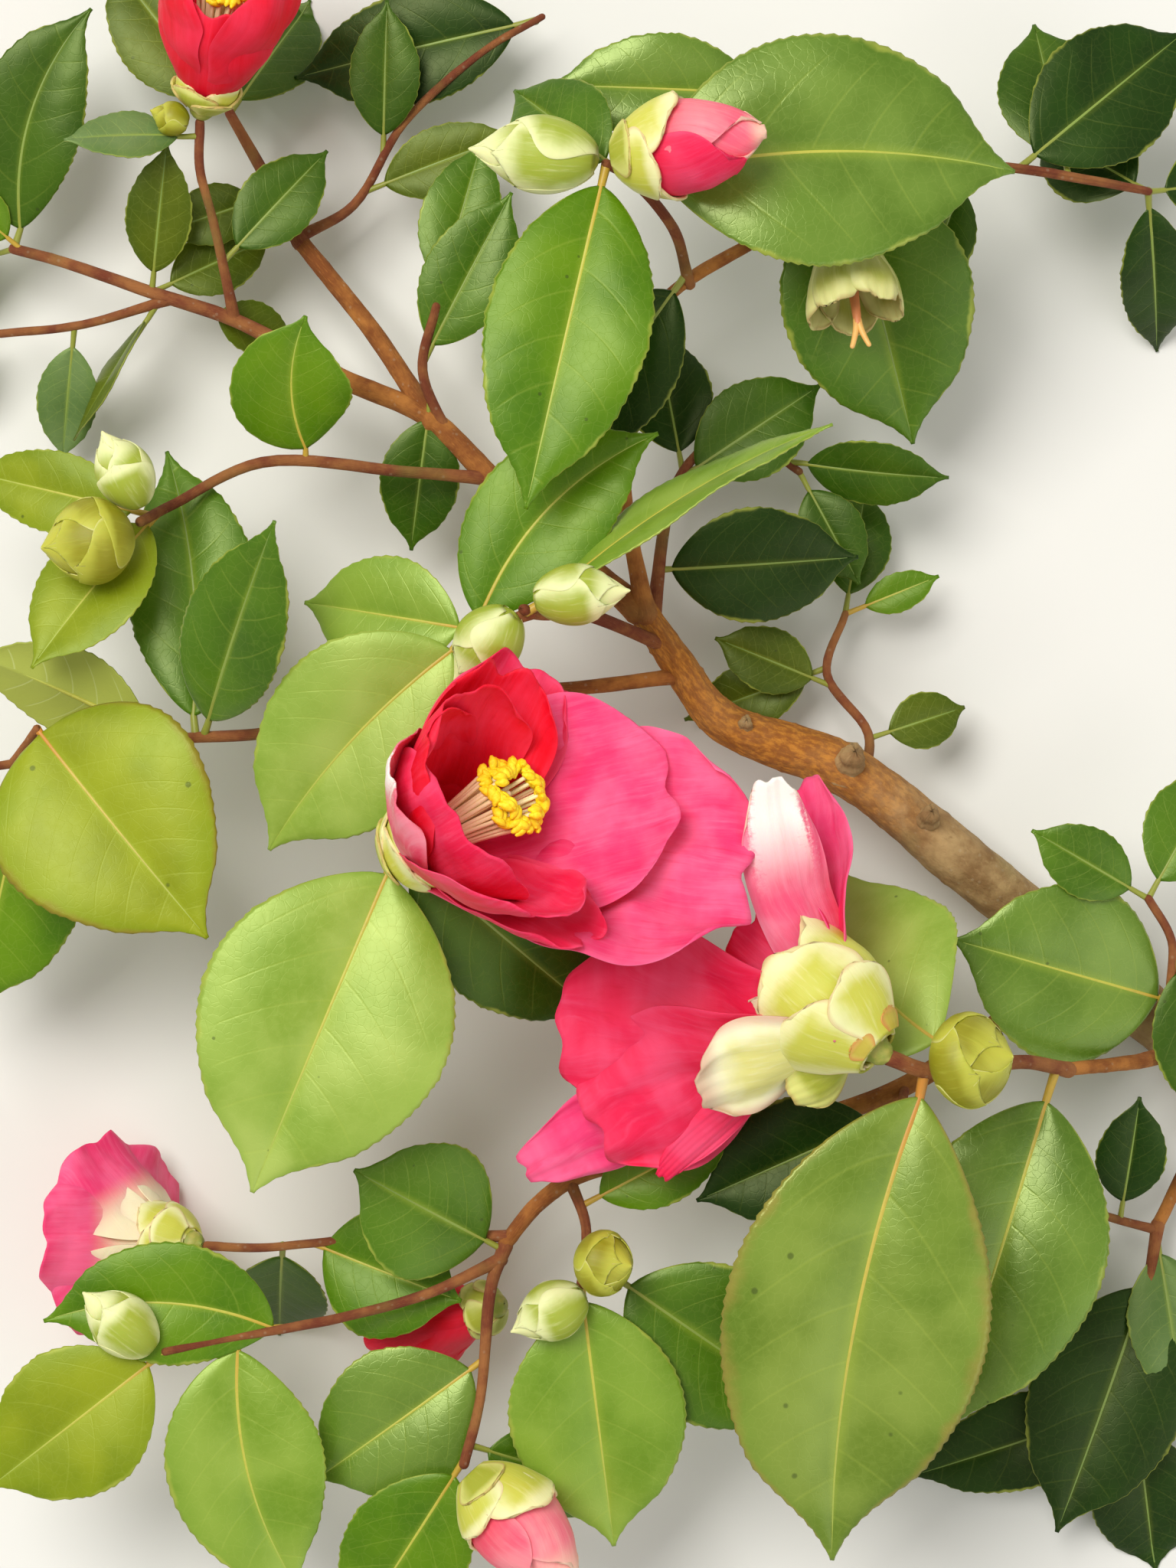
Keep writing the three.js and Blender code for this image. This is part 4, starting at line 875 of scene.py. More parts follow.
def petal_part(frame_of, index, turn, lean, opens, long, wide, cup, curl=0.0, ruffle=1.2, waves=2.4,
               phase=0.0, notch=0.07, crush=0.7, roll=0.0, twist=0.0, foot=PETAL_FOOT, start=PETAL_START,
               thickness=0.6, waist=0.3, snug=18.0, hug=0.0):
    """A petal. Its midline starts at the foot ring at the `snug` angle off the axis and within a few
    millimetres leans by `lean`, then towards `opens` at its tip, and its last third by `curl` more. Across
    it the blade is an arc of twice `cup` degrees, and `waist` times as wide at its foot as two thirds of the
    way up. It has a notched round tip, a rim that waves by `ruffle` and rolls back by `roll`, and crumples of
    `crush` millimetres. The blade turns about its midline by `twist` degrees towards its tip, and cups by
    `hug` degrees more near its foot."""
    place, tangent = frame_of
    u = np.linspace(0, 1, PETAL_ROWS)[:, None]
    v = np.sin(np.linspace(-np.pi / 2, np.pi / 2, PETAL_COLS))[None, :]

    # The midline: the angle off the axis at each fine step, summed to distances off the axis and along it
    fine_u = np.linspace(0, 1, MIDLINE_STEPS)
    settle = max(lean - snug, 0) * np.exp(-fine_u * long / 6.5)
    bend = np.radians(lean + (opens - lean) * fine_u - settle + curl * smooth((fine_u - 0.7) / (1 - 0.7)))

    def distances(slope):
        """The slope summed step by step along the midline."""
        return long * np.concatenate([[0], np.cumsum((slope[1:] + slope[:-1]) / 2)]) / (MIDLINE_STEPS - 1)

    out, up = foot + distances(np.sin(bend)), start + distances(np.cos(bend))
    reach = u * (1 - notch * np.exp(-((v / 0.22) ** 2)) * u**4 - 0.16 * np.abs(v) ** 3 * u**2
                 + 0.014 * np.sin(9 * v + phase) * u**3)
    lean_here = np.interp(reach, fine_u, bend)

    # Across the midline: how far each point lies to the side, and how far in towards the axis
    swell = np.where(u < 0.64, waist + (1 - waist) * np.sin(np.pi / 2 * np.minimum(u / 0.64, 1)) ** 0.9,
                     np.sqrt(np.maximum(1 - 0.5 * ((u - 0.64) / 0.36) ** 2, 0.01)))
    half = wide / 2 * swell
    arc = np.radians(cup + hug * np.exp(-((u / 0.26) ** 2)))
    side = half * np.sin(arc * v) / arc
    inward = half * (1 - np.cos(arc * v)) / arc
    inward = inward + ruffle * u**1.6 * np.abs(v) ** 0.8 * np.sin(waves * np.pi * v + phase)
    inward = inward - roll * (smooth((np.abs(v) - 0.72) / 0.28) * u + smooth((u - 0.84) / 0.16))
    inward = inward + crush * crumple(side, reach * long, index + 7) * smooth(u / 0.35)
    inward = inward + 0.12 * u * np.sin(23 * v + 3 * np.sin(5 * u + phase))
    turned = np.radians(twist) * smooth(u / 0.9)
    side, inward = (side * np.cos(turned) - inward * np.sin(turned),
                    inward * np.cos(turned) + side * np.sin(turned))
    across = np.interp(reach, fine_u, out) - inward * np.cos(lean_here)
    along = np.interp(reach, fine_u, up) + inward * np.sin(lean_here)
    points = place(across, turn, along) + tangent(turn) * side[..., None]
    wall = thickness * (1 - 0.4 * v**2) * (1 - 0.35 * u)
    return shell(points, wall, along=u, across=v, lay_x=side, lay_y=reach * long, lay_z=index * 17.0)


def scale_part(frame_of, index, turn, body, long, low, high, spread, offset, lift, thickness=0.45, crush=0.0,
               blunt=0.47, rows=24, cols=23):
    """A scale that hugs a bud. body(share) is the bud's radius at a share of its length. The scale covers it
    from `low` to `high` and, where it is widest, `spread` degrees to each side. It narrows to a rounded tip,
    which is narrower the nearer `blunt` is to 0.45, and stands off by `offset`, and by `lift` more at its
    rim."""
    place, _ = frame_of
    u = np.linspace(0, 1, rows)[:, None]
    v = np.sin(np.linspace(-np.pi / 2, np.pi / 2, cols))[None, :]
    share = low + (high - low) * u * (1 - 0.12 * v**2 * u)
    width = spread * np.where(u < 0.55, 0.72 + 0.28 * np.sin(np.pi / 2 * np.minimum(u / 0.55, 1)),
                              np.sqrt(np.maximum(1 - (np.maximum(u - 0.55, 0) / blunt) ** 2.2, 0.01)))
    radius = body(share) + offset + lift * (0.6 * u**5 + 0.4 * v**4 * u)
    lay_x = np.radians(v * width) * radius
    if crush:
        radius = radius + crush * crumple(lay_x * 1.6, share * long * 1.6, index + 3) * smooth(u / 0.3)
    points = place(radius, turn + v * width, share * long)
    return shell(points[:, ::-1], thickness, along=u, across=v[:, ::-1], lay_x=lay_x[:, ::-1],
                 lay_y=share[:, ::-1] * long, lay_z=index * 13.0, run=share[:, ::-1])


def bud_body(thick, point):
    """The radius of an ovoid bud at a share of its length: a sine arch, fuller towards the foot, whose power
    grows towards the tip by `point`, so that the tip is pointed."""
    return lambda share: thick / 2 * np.maximum(
        np.sin(np.pi * np.clip(share, 0, 1) ** 0.82 * 0.992) ** (0.6 + point * share), 0.05)


def core_part(frame_of, body, long, index, low=0.0):
    """The closed body of a bud: circles of the body's radius along the axis from the `low` share of its
    length, closer together and shrunk to a point at both ends."""
    place, _ = frame_of
    share = low + (1 - low) * (1 - np.cos(np.linspace(0.02, np.pi - 0.02, CORE_ROWS))) / 2
    turn = np.linspace(0, 360, CORE_SIDES, endpoint=False)
    ends = np.abs(2 * np.linspace(0, 1, CORE_ROWS) - 1) ** 14
    radius = body(share) * np.sqrt(np.clip(1 - ends, 0.002, 1))
    points = place(radius[:, None], turn[None, :], share[:, None] * long)
    grid = np.zeros((CORE_ROWS, CORE_SIDES))
    values = {
        "along": share[:, None], "run": share[:, None], "across": 0.0, "inner": 0.0,
        "lay_x": np.radians(turn) * radius[:, None], "lay_y": share[:, None] * long, "lay_z": index * 13.0,
    }
    return {
        "points": points.reshape(-1, 3),
        "faces": capped_faces(CORE_ROWS, CORE_SIDES),
        "values": {key: (grid + value).ravel() for key, value in values.items()},
    }


def scaled_bud(foot, heading, rise, long, thick, index, turn):
    """A green bud: large overlapping scales dealt out by the golden angle, low ones outside and short, high
    ones inside and long, tight over a closed core. A slender bud is more pointed, and its scales all reach
    close to its tip."""
    frame_of = flower_frame(foot, heading, rise)
    slender = long > 1.25 * thick
    body = bud_body(thick, 0.58 if slender else 0.45)
    shortest = 0.66 if slender else 0.46
    parts = [core_part(frame_of, lambda share: 0.965 * body(share), long, index)]
    for k in range(BUD_SCALES):
        step = k / (BUD_SCALES - 1)
        high = shortest + (0.99 - shortest) * step**0.7
        parts.append(scale_part(
            frame_of, index * 20 + k, turn + GOLDEN_ANGLE * k, body, long, 0.02 + 0.06 * step, high,
            spread=84 - 10 * step, offset=0.34 - 0.42 * step, lift=0.03, thickness=0.22, blunt=0.453,
            cols=17))
    return parts


# Buds: foot on the plan, heading, rise, length, thickness, look
BUDS = {
    "bud_centre_right": ((-12, 40.5, 82), 4, 8, 21, 12.5, "pale"),
    "bud_centre_left": ((-16, 37.5, 79), 228, -12, 20, 14, "pale"),
    "bud_left_upper": ((-97, 60.5, 66), 117, 22, 19, 12, "pale"),
    "bud_left_round": ((-99.5, 54, 65), 190, 28, 21, 18.5, "olive"),
    "bud_top": ((2.5, 136, 82.5), 176, 4, 28, 16, "pale"),
    "bud_right": ((76.1, -60.7, 77.4), 8, 37, 19, 20, "olive"),
    "bud_bottom_round": ((-1.3, -103.9, 57.9), 0, 40, 14, 14, "olive"),
    "bud_bottom_long": ((-0.5, -111, 57), 206, 10, 18.5, 12.5, "pale"),
    "bud_bottom_left": ((-94.5, -123, 58), 139, 14, 20.5, 13, "pale"),
    "bud_high_left": ((-87, 143.5, 45.5), 160, 10, 9, 7, "olive"),
}


def spiral_bracts(looks, fall, flare):
    """Bracts of a calyx, one for each look, dealt out by the golden angle, each lower, narrower and further
    out than the last."""
    return [(look, 20 + GOLDEN_ANGLE * k, 1.0 - fall * k, 62 - 2 * k, 0.25 * k, flare)
            for k, look in enumerate(looks)]


# Blooms. Petals and long bracts, in the order in which they lie: look, turn about the axis, lean off the axis
# near the foot and at the tip, length, width, half angle of the cup, and what else petal_part takes. Stamens:
# what stamen_parts takes. Calyx: its length, width, how far it closes, and for each of its bracts the look,
# turn, height as a share of the calyx, half width in degrees, layer in millimetres and flare at the rim
BLOOMS = {
    "bloom_open": {
        "foot": (-41, -16.5, 74), "heading": 32, "rise": 48,
        "petals": [
            ("deep_pink", 305, 51, 53, 45, 34, 40, {"ruffle": 1.4, "phase": 2}),
            ("deep_pink", 276, 57, 60, 46, 30, 36, {"ruffle": 1.0, "phase": 0.4}),
            ("red", 322, 38, 35, 45, 38, 56, {"ruffle": 1.6, "phase": 4}),
            ("pink", 223, 52, 58, 71, 60, 36, {"ruffle": 1.8, "waves": 2.2, "phase": 1, "crush": 2.1}),
            ("pink", 246, 45, 52, 54, 51, 34, {"ruffle": 1.6, "waves": 1.6, "phase": 5, "notch": 0.02,
                                               "crush": 1.6}),
            ("streaked", 50, 60, 22, 38, 36, 56, {}),
            ("deep_pink", 178, 56, 40, 47, 28, 36, {"ruffle": 0.8, "phase": 3}),
            ("red", 350, 36, 26, 43, 42, 60, {"curl": -20, "phase": 1}),
            ("red", 28, 46, 12, 42, 40, 64, {"ruffle": 0.8}),
            ("deep_pink", 152, 56, 16, 50, 42, 48, {"ruffle": 0.8}),
            ("deep_pink", 100, 50, -2, 43, 46, 50, {"ruffle": 0.8, "phase": 2}),
        ],
        "stamens": {"long": 28, "ring": 7.8, "count": 46, "bend": (262, 9.5)},
        "calyx": {
            "long": 18, "wide": 19, "close": -0.2,
            "bracts": [("pale", 60, 1.0, 60, 0.0, 0.5), ("pale", 150, 0.95, 60, 0.0, 0.5),
                       ("green", 240, 0.9, 60, 0.0, 0.4), ("green", 330, 0.9, 60, 0.0, 0.4),
                       ("pale", 96, 0.86, 56, 0.7, 0.4), ("pale", 24, 0.66, 56, 0.9, 0.3),
                       ("green", 190, 0.6, 54, 0.9, 0.3), ("green", 66, 0.5, 54, 1.5, 0.3),
                       ("green", 290, 0.4, 50, 1.6, 0.3)],
        },
    },
    "bloom_nodding": {
        "foot": (63.7, -58.5, 80), "heading": 139, "rise": -18,
        "petals": [
            ("pink", 230, 24, 18, 40, 36, 60, {}),
            ("pink", 285, 24, 26, 42, 36, 60, {}),
            ("deep_pink", 350, 76, 84, 52, 10, 20, {"ruffle": 0.4, "notch": 0, "crush": 0.2, "twist": 65}),
            ("pink", 356, 60, 68, 77, 22, 24, {"phase": 4, "notch": 0, "twist": 65}),
            ("deep_pink", 0, 58, 68, 60, 40, 24, {"ruffle": 1.8, "waves": 3, "phase": 1, "twist": 62,
                                                  "waist": 0.15, "hug": 40}),
            ("pink", 190, 31, 33, 58, 24, 30, {"phase": 2, "ruffle": 0.9, "twist": 65}),
            ("deep_pink", 104, 14, 10, 34, 30, 56, {"ruffle": 0.6, "phase": 3, "crush": 0.3}),
            ("deep_pink", 11, 38, 44, 63, 47, 26, {"ruffle": 1.6, "waves": 2.6, "phase": 0.6, "crush": 1.2,
                                                   "twist": 65, "notch": 0.03, "waist": 0.12, "hug": 55}),
            ("white_streaked", 145, 10, 58, 57, 19, 20, {"ruffle": 0.8, "notch": 0, "waist": 1.25,
                                                         "twist": -46}),
        ],
        "stamens": {"long": 24, "ring": 7, "count": 36, "bend": (0, 0)},
        "calyx": {
            "long": 30, "wide": 28, "close": 0.05,
            "bracts": [("pale", 210, 0.94, 62, 0.0, 0.3), ("pale", 290, 0.94, 62, 0.0, 0.3),
                       ("pale", 150, 1.06, 52, 0.3, 0.7), ("cream", 20, 1.02, 56, 0.4, 0.8),
                       ("pale", 86, 0.96, 60, 0.9, 0.5), ("green", 340, 0.78, 60, 1.3, 0.5),
                       ("pale", 48, 0.6, 52, 1.6, 0.4), ("pale", 126, 0.5, 46, 1.8, 0.3),
                       ("rusty", 76, 0.13, 26, 1.9, 0.2), ("rusty", 150, 0.15, 24, 2.0, 0.3)],
        },
        "long_bracts": [
            ("cream", 18, 58, 66, 36, 26, 26, {"crush": 0.5, "twist": 34, "snug": 30, "waist": 0.55,
                                               "roll": 0.8}),
            ("green", 350, 80, 62, 18, 16, 34, {"ruffle": 0.4, "crush": 0.3, "twist": 60, "snug": 70,
                                                "waist": 0.6}),
        ],
    },
    "bloom_lower_left": {
        "foot": (-86, -100, 34), "heading": 180, "rise": -35,
        "petals": [("white_foot", 20 + 72 * k, 50, 62, 27, 34, 40, {"phase": k, "ruffle": 1.4})
                   for k in range(5)],
        "calyx": {"long": 13, "wide": 15, "close": -0.2, "bracts": spiral_bracts(["pale"] * 7, 0.09, 0.4)},
    },
    "bloom_high_left": {
        "foot": (-84, 147, 45), "heading": 74, "rise": 30,
        "petals": [("red", 90 + 72 * k, 36, 2, long, 32, 64,
                    {"phase": k, "ruffle": 1.0, "start": 3.6, "snug": 40})
                   for k, long in enumerate((26, 36, 40, 40, 36))],
        "stamens": {"long": 24, "ring": 6.5, "count": 36, "bend": (0, 0)},
        "calyx": {"long": 9, "wide": 13, "close": 0.0,
                  "bracts": spiral_bracts(["pale"] * 3 + ["green"] * 5, 0.09, 0.4)},
    },
    "bloom_low_hidden": {
        "foot": (-20, -113.5, 39), "heading": 200, "rise": -42,
        "petals": [("red", 20 + 90 * k, 34, 14, 26, 25, 66, {"phase": k}) for k in range(4)],
        "calyx": {"long": 7, "wide": 10, "close": -0.2, "bracts": spiral_bracts(["green"] * 6, 0.1, 0.3)},
    },
}


def calyx_parts(frame_of, index, calyx):
    """The overlapping bracts round a bloom's foot. They lie on a cup whose radius rises to half its width a
    little past the middle of its length and then closes or opens, each one to its own height and layer."""
    half, close = calyx["wide"] / 2, calyx["close"]

    def body(share):
        rise = 0.3 + 0.7 * np.sin(np.pi / 2 * np.clip(share / 0.56, 0, 1)) ** 1.1
        return half * rise * (1 - close * smooth((share - 0.5) / 0.5))

    return [(look, scale_part(frame_of, index * 20 + k, turn, body, calyx["long"], 0.02, high, spread, offset,
                              lift=flare, thickness=0.6, crush=0.25, rows=26))
            for k, (look, turn, high, spread, offset, flare) in enumerate(calyx["bracts"])]


def stamen_parts(place, long, ring, count, bend, index):
    """Stamens: filaments that rise side by side from a ring, part near their ends and carry two-lobed
    anthers, dealt out by the golden angle over a hollow crown, with a pale style in the middle. All of them
    bend towards one turn by a growing distance."""
    draw = np.random.default_rng(index)
    filaments, anthers = [], []
    share = np.linspace(0, 1, 9)
    shift = place(bend[1], bend[0], 0.0) - place(0.0, 0.0, 0.0)
    sway = np.outer(share**1.6, shift)
    for k in range(count):
        turn = GOLDEN_ANGLE * k + draw.uniform(-8, 8)
        layer = draw.uniform()
        end = ring * (0.56 + 0.46 * layer) + draw.uniform(-0.4, 0.4)
        top = long * (1.03 - 0.16 * layer) + draw.uniform(-1.0, 1.0)
        inner = 2.2 + 0.9 * layer
        path = place(inner + (end - inner) * share**1.7, turn, PETAL_START + top * share) + sway
        filaments.append(tube(path, 0.62 - 0.18 * share, sides=6, along=share))
        heading = unit(path[-1] - path[-2])
        lean = unit(np.cross(heading, draw.normal(size=3)))
        length, girth = draw.uniform(2.4, 3.2), draw.uniform(0.85, 1.1)
        reach = np.linspace(-1, 1, 7)
        for lobe in (-0.5, 0.5):
            side = np.cross(heading, lean) * lobe * girth * 1.35
            body = np.outer(reach * length / 2, unit(lean + 0.45 * heading))
            bow = np.outer(0.3 * np.cos(1.4 * reach), heading)
            anthers.append(tube(path[-1] + side + body + bow, girth * np.sqrt(1 - 0.75 * reach**2), sides=8))
    style = place(np.linspace(0.2, 1.2, 9), 40.0, PETAL_START + long * 0.9 * share) + sway
    filaments.append(tube(style, 1.1 - 0.35 * share, sides=8, along=0.2))
    return filaments, anthers


def knob_part(frame_of, radius):
    """The solid foot of a bloom: circles that swell from the stalk to the ring that bracts and petals grow
    from."""
    place, _ = frame_of
    share = np.linspace(0, 1, 8)
    path = place(0.0, 0.0, KNOB_FOOT + KNOB_TALL * share)
    return tube(path, radius * (0.45 + 0.55 * np.sin(np.pi * (0.15 + 0.5 * share))), sides=16, along=share)


def cut_disc():
    """The branch's cut face: rings about its middle, slightly wavy and domed, just off the bark's end."""
    share = np.linspace(0.02, 1.0, CUT_RINGS)[:, None]
    turn = np.linspace(0, 2 * np.pi, CUT_SPOKES, endpoint=False)[None, :]
    radius = share * CUT_RADIUS * (1 + 0.02 * np.sin(3 * turn))
    points = (cut_centre + SHIFT + cut_left * (radius * np.cos(turn))[..., None]
              + cut_up * (radius * np.sin(turn))[..., None]
              - cut_inward * (CUT_DOME * (1 - share) + CUT_GAP)[..., None])
    return {
        "points": points.reshape(-1, 3),
        "faces": [grid_faces(CUT_RINGS, CUT_SPOKES, closed=True), np.arange(CUT_SPOKES)[None, ::-1]],
        "values": {"along": np.repeat(share[:, 0], CUT_SPOKES)},
    }


# Boughs and limbs, each with its bark's relief, whose seed is the length of its name
LIMB_KINDS = {  # finish, steps for each span, sides, flare at the foot, depth of the relief, rounded ends
    "old_bark": (bark_finish("old_bark", "#8a6840", "#b89868", "#a89c6a", 1.1, young_from=95),
                 BOUGH_STEPS, BOUGH_SIDES, 0.0, 0.55, False),
    "young_bark": (bark_finish("young_bark", "#84491e", "#bc7a38", "#a07c44", 1.6),
                   LIMB_STEPS, LIMB_SIDES, 0.35, 0.2, True),
}
STUBS = [(56.7, 3.3, 7.0, 3.2), (75.3, -6.8, 6.5, 2.6), (35.0, 15.5, 3.0, 1.8)]  # place, length and radius
STUB_HEIGHT = 26  # height at which their places are on the plan
STUB_LEAN = unit(np.array([0.12, 0.35, 1.0]))
STUB_RISE = 3.0  # how far a stub starts from the middle of the bough
for name, bough in BOUGHS.items():
    slot = "old_bark" if name == "main_bough" else "young_bark"
    finish, steps, sides, flare, depth, rounded = LIMB_KINDS[slot]
    points = [p + SHIFT for p in bough.get("from", [])] + [seen(*p) for p in bough["way"]]
    path, radius = limb_path(points, bough["radii"], steps, flare)
    parts = [tube(path, radius, sides, bark_relief(depth, len(name)), rounded)]
    if name == "main_bough":
        for x, y, long, size in STUBS:
            aside = np.linalg.norm(path[:, :2] - seen(x, y, STUB_HEIGHT)[:2], axis=1)
            parts.append(stub(path[np.argmin(aside)] + STUB_LEAN * STUB_RISE, STUB_LEAN, long, size))
    make_piece(f"{name}_bark", parts, finish, [name], ["run", "turn"])
make_piece("cut_wood", [cut_disc()], cut_finish("cut_wood"), ["main_bough"], ["along"])

# Twigs, leaves and ribs, each kind apart and leaves by their tint
twig_bark = bark_finish("twig_bark", "#7a3a24", "#a56a3a", "#7d7a36", 1.8)
twig_parts = []
blades = {tint: [] for tint in TINTS}
ribs = {kind: [] for kind in RIBS}
rib_of = {tint: kind for kind, (_, tints) in RIBS.items() for tint in tints}
sprays_of = {tint: set() for tint in TINTS}
leaf_index = 0
for name, twigs in SPRAYS.items():
    for way, radii, leaves in twigs:
        points = [seen(*p) for p in way]
        path, radius = limb_path(points, radii, TWIG_STEPS, TWIG_FLARE)
        twig_parts.append(tube(path, radius, TWIG_SIDES, bark_relief(TWIG_RELIEF, len(name))))
        for place_on, heading, rise, long, wide, tint, more in leaves:
            node = curve_points(points, [place_on])[0]
            blade, rib = leaf_parts(node, leaf_index, heading, rise, long, wide, **more)
            blades[tint].append(blade)
            ribs[rib_of[tint]].append(rib)
            sprays_of[tint].add(name)
            leaf_index += 1
make_piece("twigs", twig_parts, twig_bark, list(SPRAYS), ["run", "turn"])
for tint, (*colours, gloss, more) in TINTS.items():
    finish = leaf_finish(f"leaf_{tint}", *colours, gloss, **more)
    make_piece(f"leaves_{tint}", blades[tint], finish, sorted(sprays_of[tint]), SCALE_DATA + ["vein"])
for kind, (colours, _) in RIBS.items():
    make_piece(f"ribs_{kind}", ribs[kind], rib_finish(f"rib_{kind}", *colours), (), ["along"])

# Buds
BUD_LOOKS = {
    "olive": bract_finish("bud_olive", "#918c14", "#bcba40", "#dcd68e", 0.93, tip_from=0.94),
    "pale": bract_finish("bud_pale", "#a2ae38", "#ebebaa", "#dedb9c", 0.9, tip_from=0.6),
}
for index, (name, (foot, heading, rise, long, thick, look)) in enumerate(BUDS.items()):
    parts = scaled_bud(seen(*foot), heading, rise, long, thick, index, turn=40.0 * index)
    make_piece(f"{name}_scales", parts, BUD_LOOKS[look], [name], SCALE_DATA + ["run"])

# Blooms
PETAL_LOOKS = {
    "pink": petal_finish("petal_pink", "#f03a72", "#fc769f", "#e01446"),
    "deep_pink": petal_finish("petal_deep_pink", "#ee2450", "#f65a80", "#dc0c30"),
    # Painted shade: the red look is the petals' pink darkened for petals that lie in shade inside a bloom
    "red": petal_finish("petal_red", "#e80c26", "#f43a58", "#cc0416"),
    "streaked": petal_finish("petal_streaked", "#e8486a", "#f2a0ac", "#d0204a", white=0.45, white_from=0.62),
    "white_streaked": petal_finish("petal_white_streaked", "#ee5478", "#f494a8", "#d83058", white=0.85,
                                   white_from=0.54, pale_tip=0.06),
    "white_foot": petal_finish("petal_white_foot", "#f03a72", "#fc769f", "#e01446", pale_foot=0.62),
    "opening": petal_finish("petal_opening", "#f8607a", "#ffa4a8", "#ec3450", pale_tip=0.12),
    "salmon": petal_finish("petal_salmon", "#fa7c8c", "#ffb6b0", "#ee5870", pale_tip=0.3),
}
BRACT_LOOKS = {
    "pale": bract_finish("bract_pale", "#ccca4e", "#f2ecae", "#d8b07a"),
    "green": bract_finish("bract_green", "#a6ab34", "#d8d67a", "#b58a52"),
    "cream": bract_finish("bract_cream", "#e6de86", "#fbf4cc", "#b8685a", 0.74),
    "rusty": bract_finish("bract_rusty", "#c4b040", "#dccb64", "#cc5a30", 0.5),
}
LONG_BRACT = {"foot": BRACT_FOOT, "start": BRACT_START, "notch": 0.0, "thickness": 0.8}
filament_look = rib_finish("filament", "#ffc49c", "#ffe8c0", "#ffeeb8", "#ffdcb4")
anther_look = plain_finish("anther", "#ffd600", "#fff030", 1400.0, 0.65)
knob_look = plain_finish("bloom_foot", "#8f9a3a", "#b0a850", 500.0, 0.55)
for number, (name, bloom) in enumerate(BLOOMS.items()):
    frame_of = flower_frame(seen(*bloom["foot"]), bloom["heading"], bloom["rise"])
    petals = [(look, petal_part(frame_of, number * 20 + k, *shape, **more))
              for k, (look, *shape, more) in enumerate(bloom["petals"])]
    bracts = calyx_parts(frame_of, number, bloom["calyx"])
    bracts += [(look, petal_part(frame_of, number * 20 + 12 + k, *shape, **LONG_BRACT, **more))
               for k, (look, *shape, more) in enumerate(bloom.get("long_bracts", []))]
    make_by_look(f"{name}_petals", petals, PETAL_LOOKS, f"{name}_petals")
    make_by_look(f"{name}_bracts", bracts, BRACT_LOOKS, f"{name}_calyx")
    make_piece(f"{name}_foot", [knob_part(frame_of, KNOB_RADIUS)], knob_look, [f"{name}_calyx"])
    if "stamens" in bloom:
        filaments, anthers = stamen_parts(frame_of[0], index=number, **bloom["stamens"])
        make_piece(f"{name}_filaments", filaments, filament_look, [f"{name}_stamens"], ["along"])
        make_piece(f"{name}_anthers", anthers, anther_look, [f"{name}_stamens"])

# Opening buds, rolled petals in a cup of bracts: foot, heading, rise, length, width, and a look for the outer
# petals and one for the inner. Each petal has its layer and each bract its look, then both have the turn,
# height as a share of the bud, half width in degrees and how far it stands off in millimetres
OPENING_BUDS = {
    "opening_bud_top": ((5, 136, 86), 8, 15, 34, 20, "opening", "deep_pink"),
    "opening_bud_bottom": ((-26, -149.5, 57), -46, 10, 34, 20, "salmon", "opening"),
}
ROLLED = [("outer", 300, 0.98, 96, -0.9), ("outer", 205, 0.97, 92, -0.6), ("outer", 20, 0.98, 88, -0.3),
          ("inner", 160, 0.86, 80, 0.0)]
CUP = [("pale", 330, 0.5, 72, 0.8), ("pale", 205, 0.42, 72, 0.8), ("pale", 38, 0.52, 64, 1.2),
       ("pale", 122, 0.36, 62, 1.3), ("green", 80, 0.2, 52, 1.7), ("green", 280, 0.3, 60, 1.3)]


def rolled_body(wide):
    """The radius of an opening bud at a share of its length: a blunt sine arch."""
    return lambda share: wide / 2 * np.maximum(np.sin(np.pi * np.minimum(share**0.9, 0.97)) ** 0.7, 0.16)


for number, (name, (foot, heading, rise, long, wide, outer, inner)) in enumerate(OPENING_BUDS.items()):
    frame_of = flower_frame(seen(*foot), heading, rise)
    body = rolled_body(wide)
    rolled = [("outer", core_part(frame_of, lambda share: 0.86 * body(share), long, 90 + number, low=0.1))]
    rolled += [(layer, scale_part(frame_of, 95 + 10 * number + k, turn, body, long, 0.1, high, spread, offset,
                                  lift=0.4, crush=0.25, rows=28, cols=27))
               for k, (layer, turn, high, spread, offset) in enumerate(ROLLED)]
    cup = [(look, scale_part(frame_of, 120 + 10 * number + k, turn, body, long, 0.03, high, spread, offset,
                             lift=0.35, thickness=0.6, crush=0.2))
           for k, (look, turn, high, spread, offset) in enumerate(CUP)]
    looks = {"outer": PETAL_LOOKS[outer], "inner": PETAL_LOOKS[inner]}
    make_by_look(f"{name}_rolled", rolled, looks, f"{name}_petals")
    make_by_look(f"{name}_cup", cup, BRACT_LOOKS, f"{name}_bracts")

# The bloom that has dropped its petals: five bracts, their foot, and a pistil that is split at its tip
spent_frame = flower_frame(seen(56, 121, 58), 276, 18)
spent = [petal_part(spent_frame, 150 + k, turn=54 + 72 * k, lean=46, opens=-6, long=20, wide=18, cup=62,
                    foot=BRACT_FOOT, start=BRACT_START, ruffle=0.7, phase=k, thickness=0.8, waist=0.55,
                    snug=46, notch=-0.14) for k in range(5)]
spent_look = bract_finish("bract_spent", "#a2a444", "#d2cf86", "#a08048")
make_piece("spent_bloom_bracts", spent, spent_look, ["spent_bloom_calyx"], SCALE_DATA)
make_piece("spent_bloom_foot", [knob_part(spent_frame, 4.0)], knob_look, ["spent_bloom_calyx"])
spent_place = spent_frame[0]
share = np.linspace(0, 1, 12)
pistil = [tube(spent_place(0.0, 0.0, 5.6 + 17 * share), 1.5 - 0.6 * share, 10, along=0.3)]
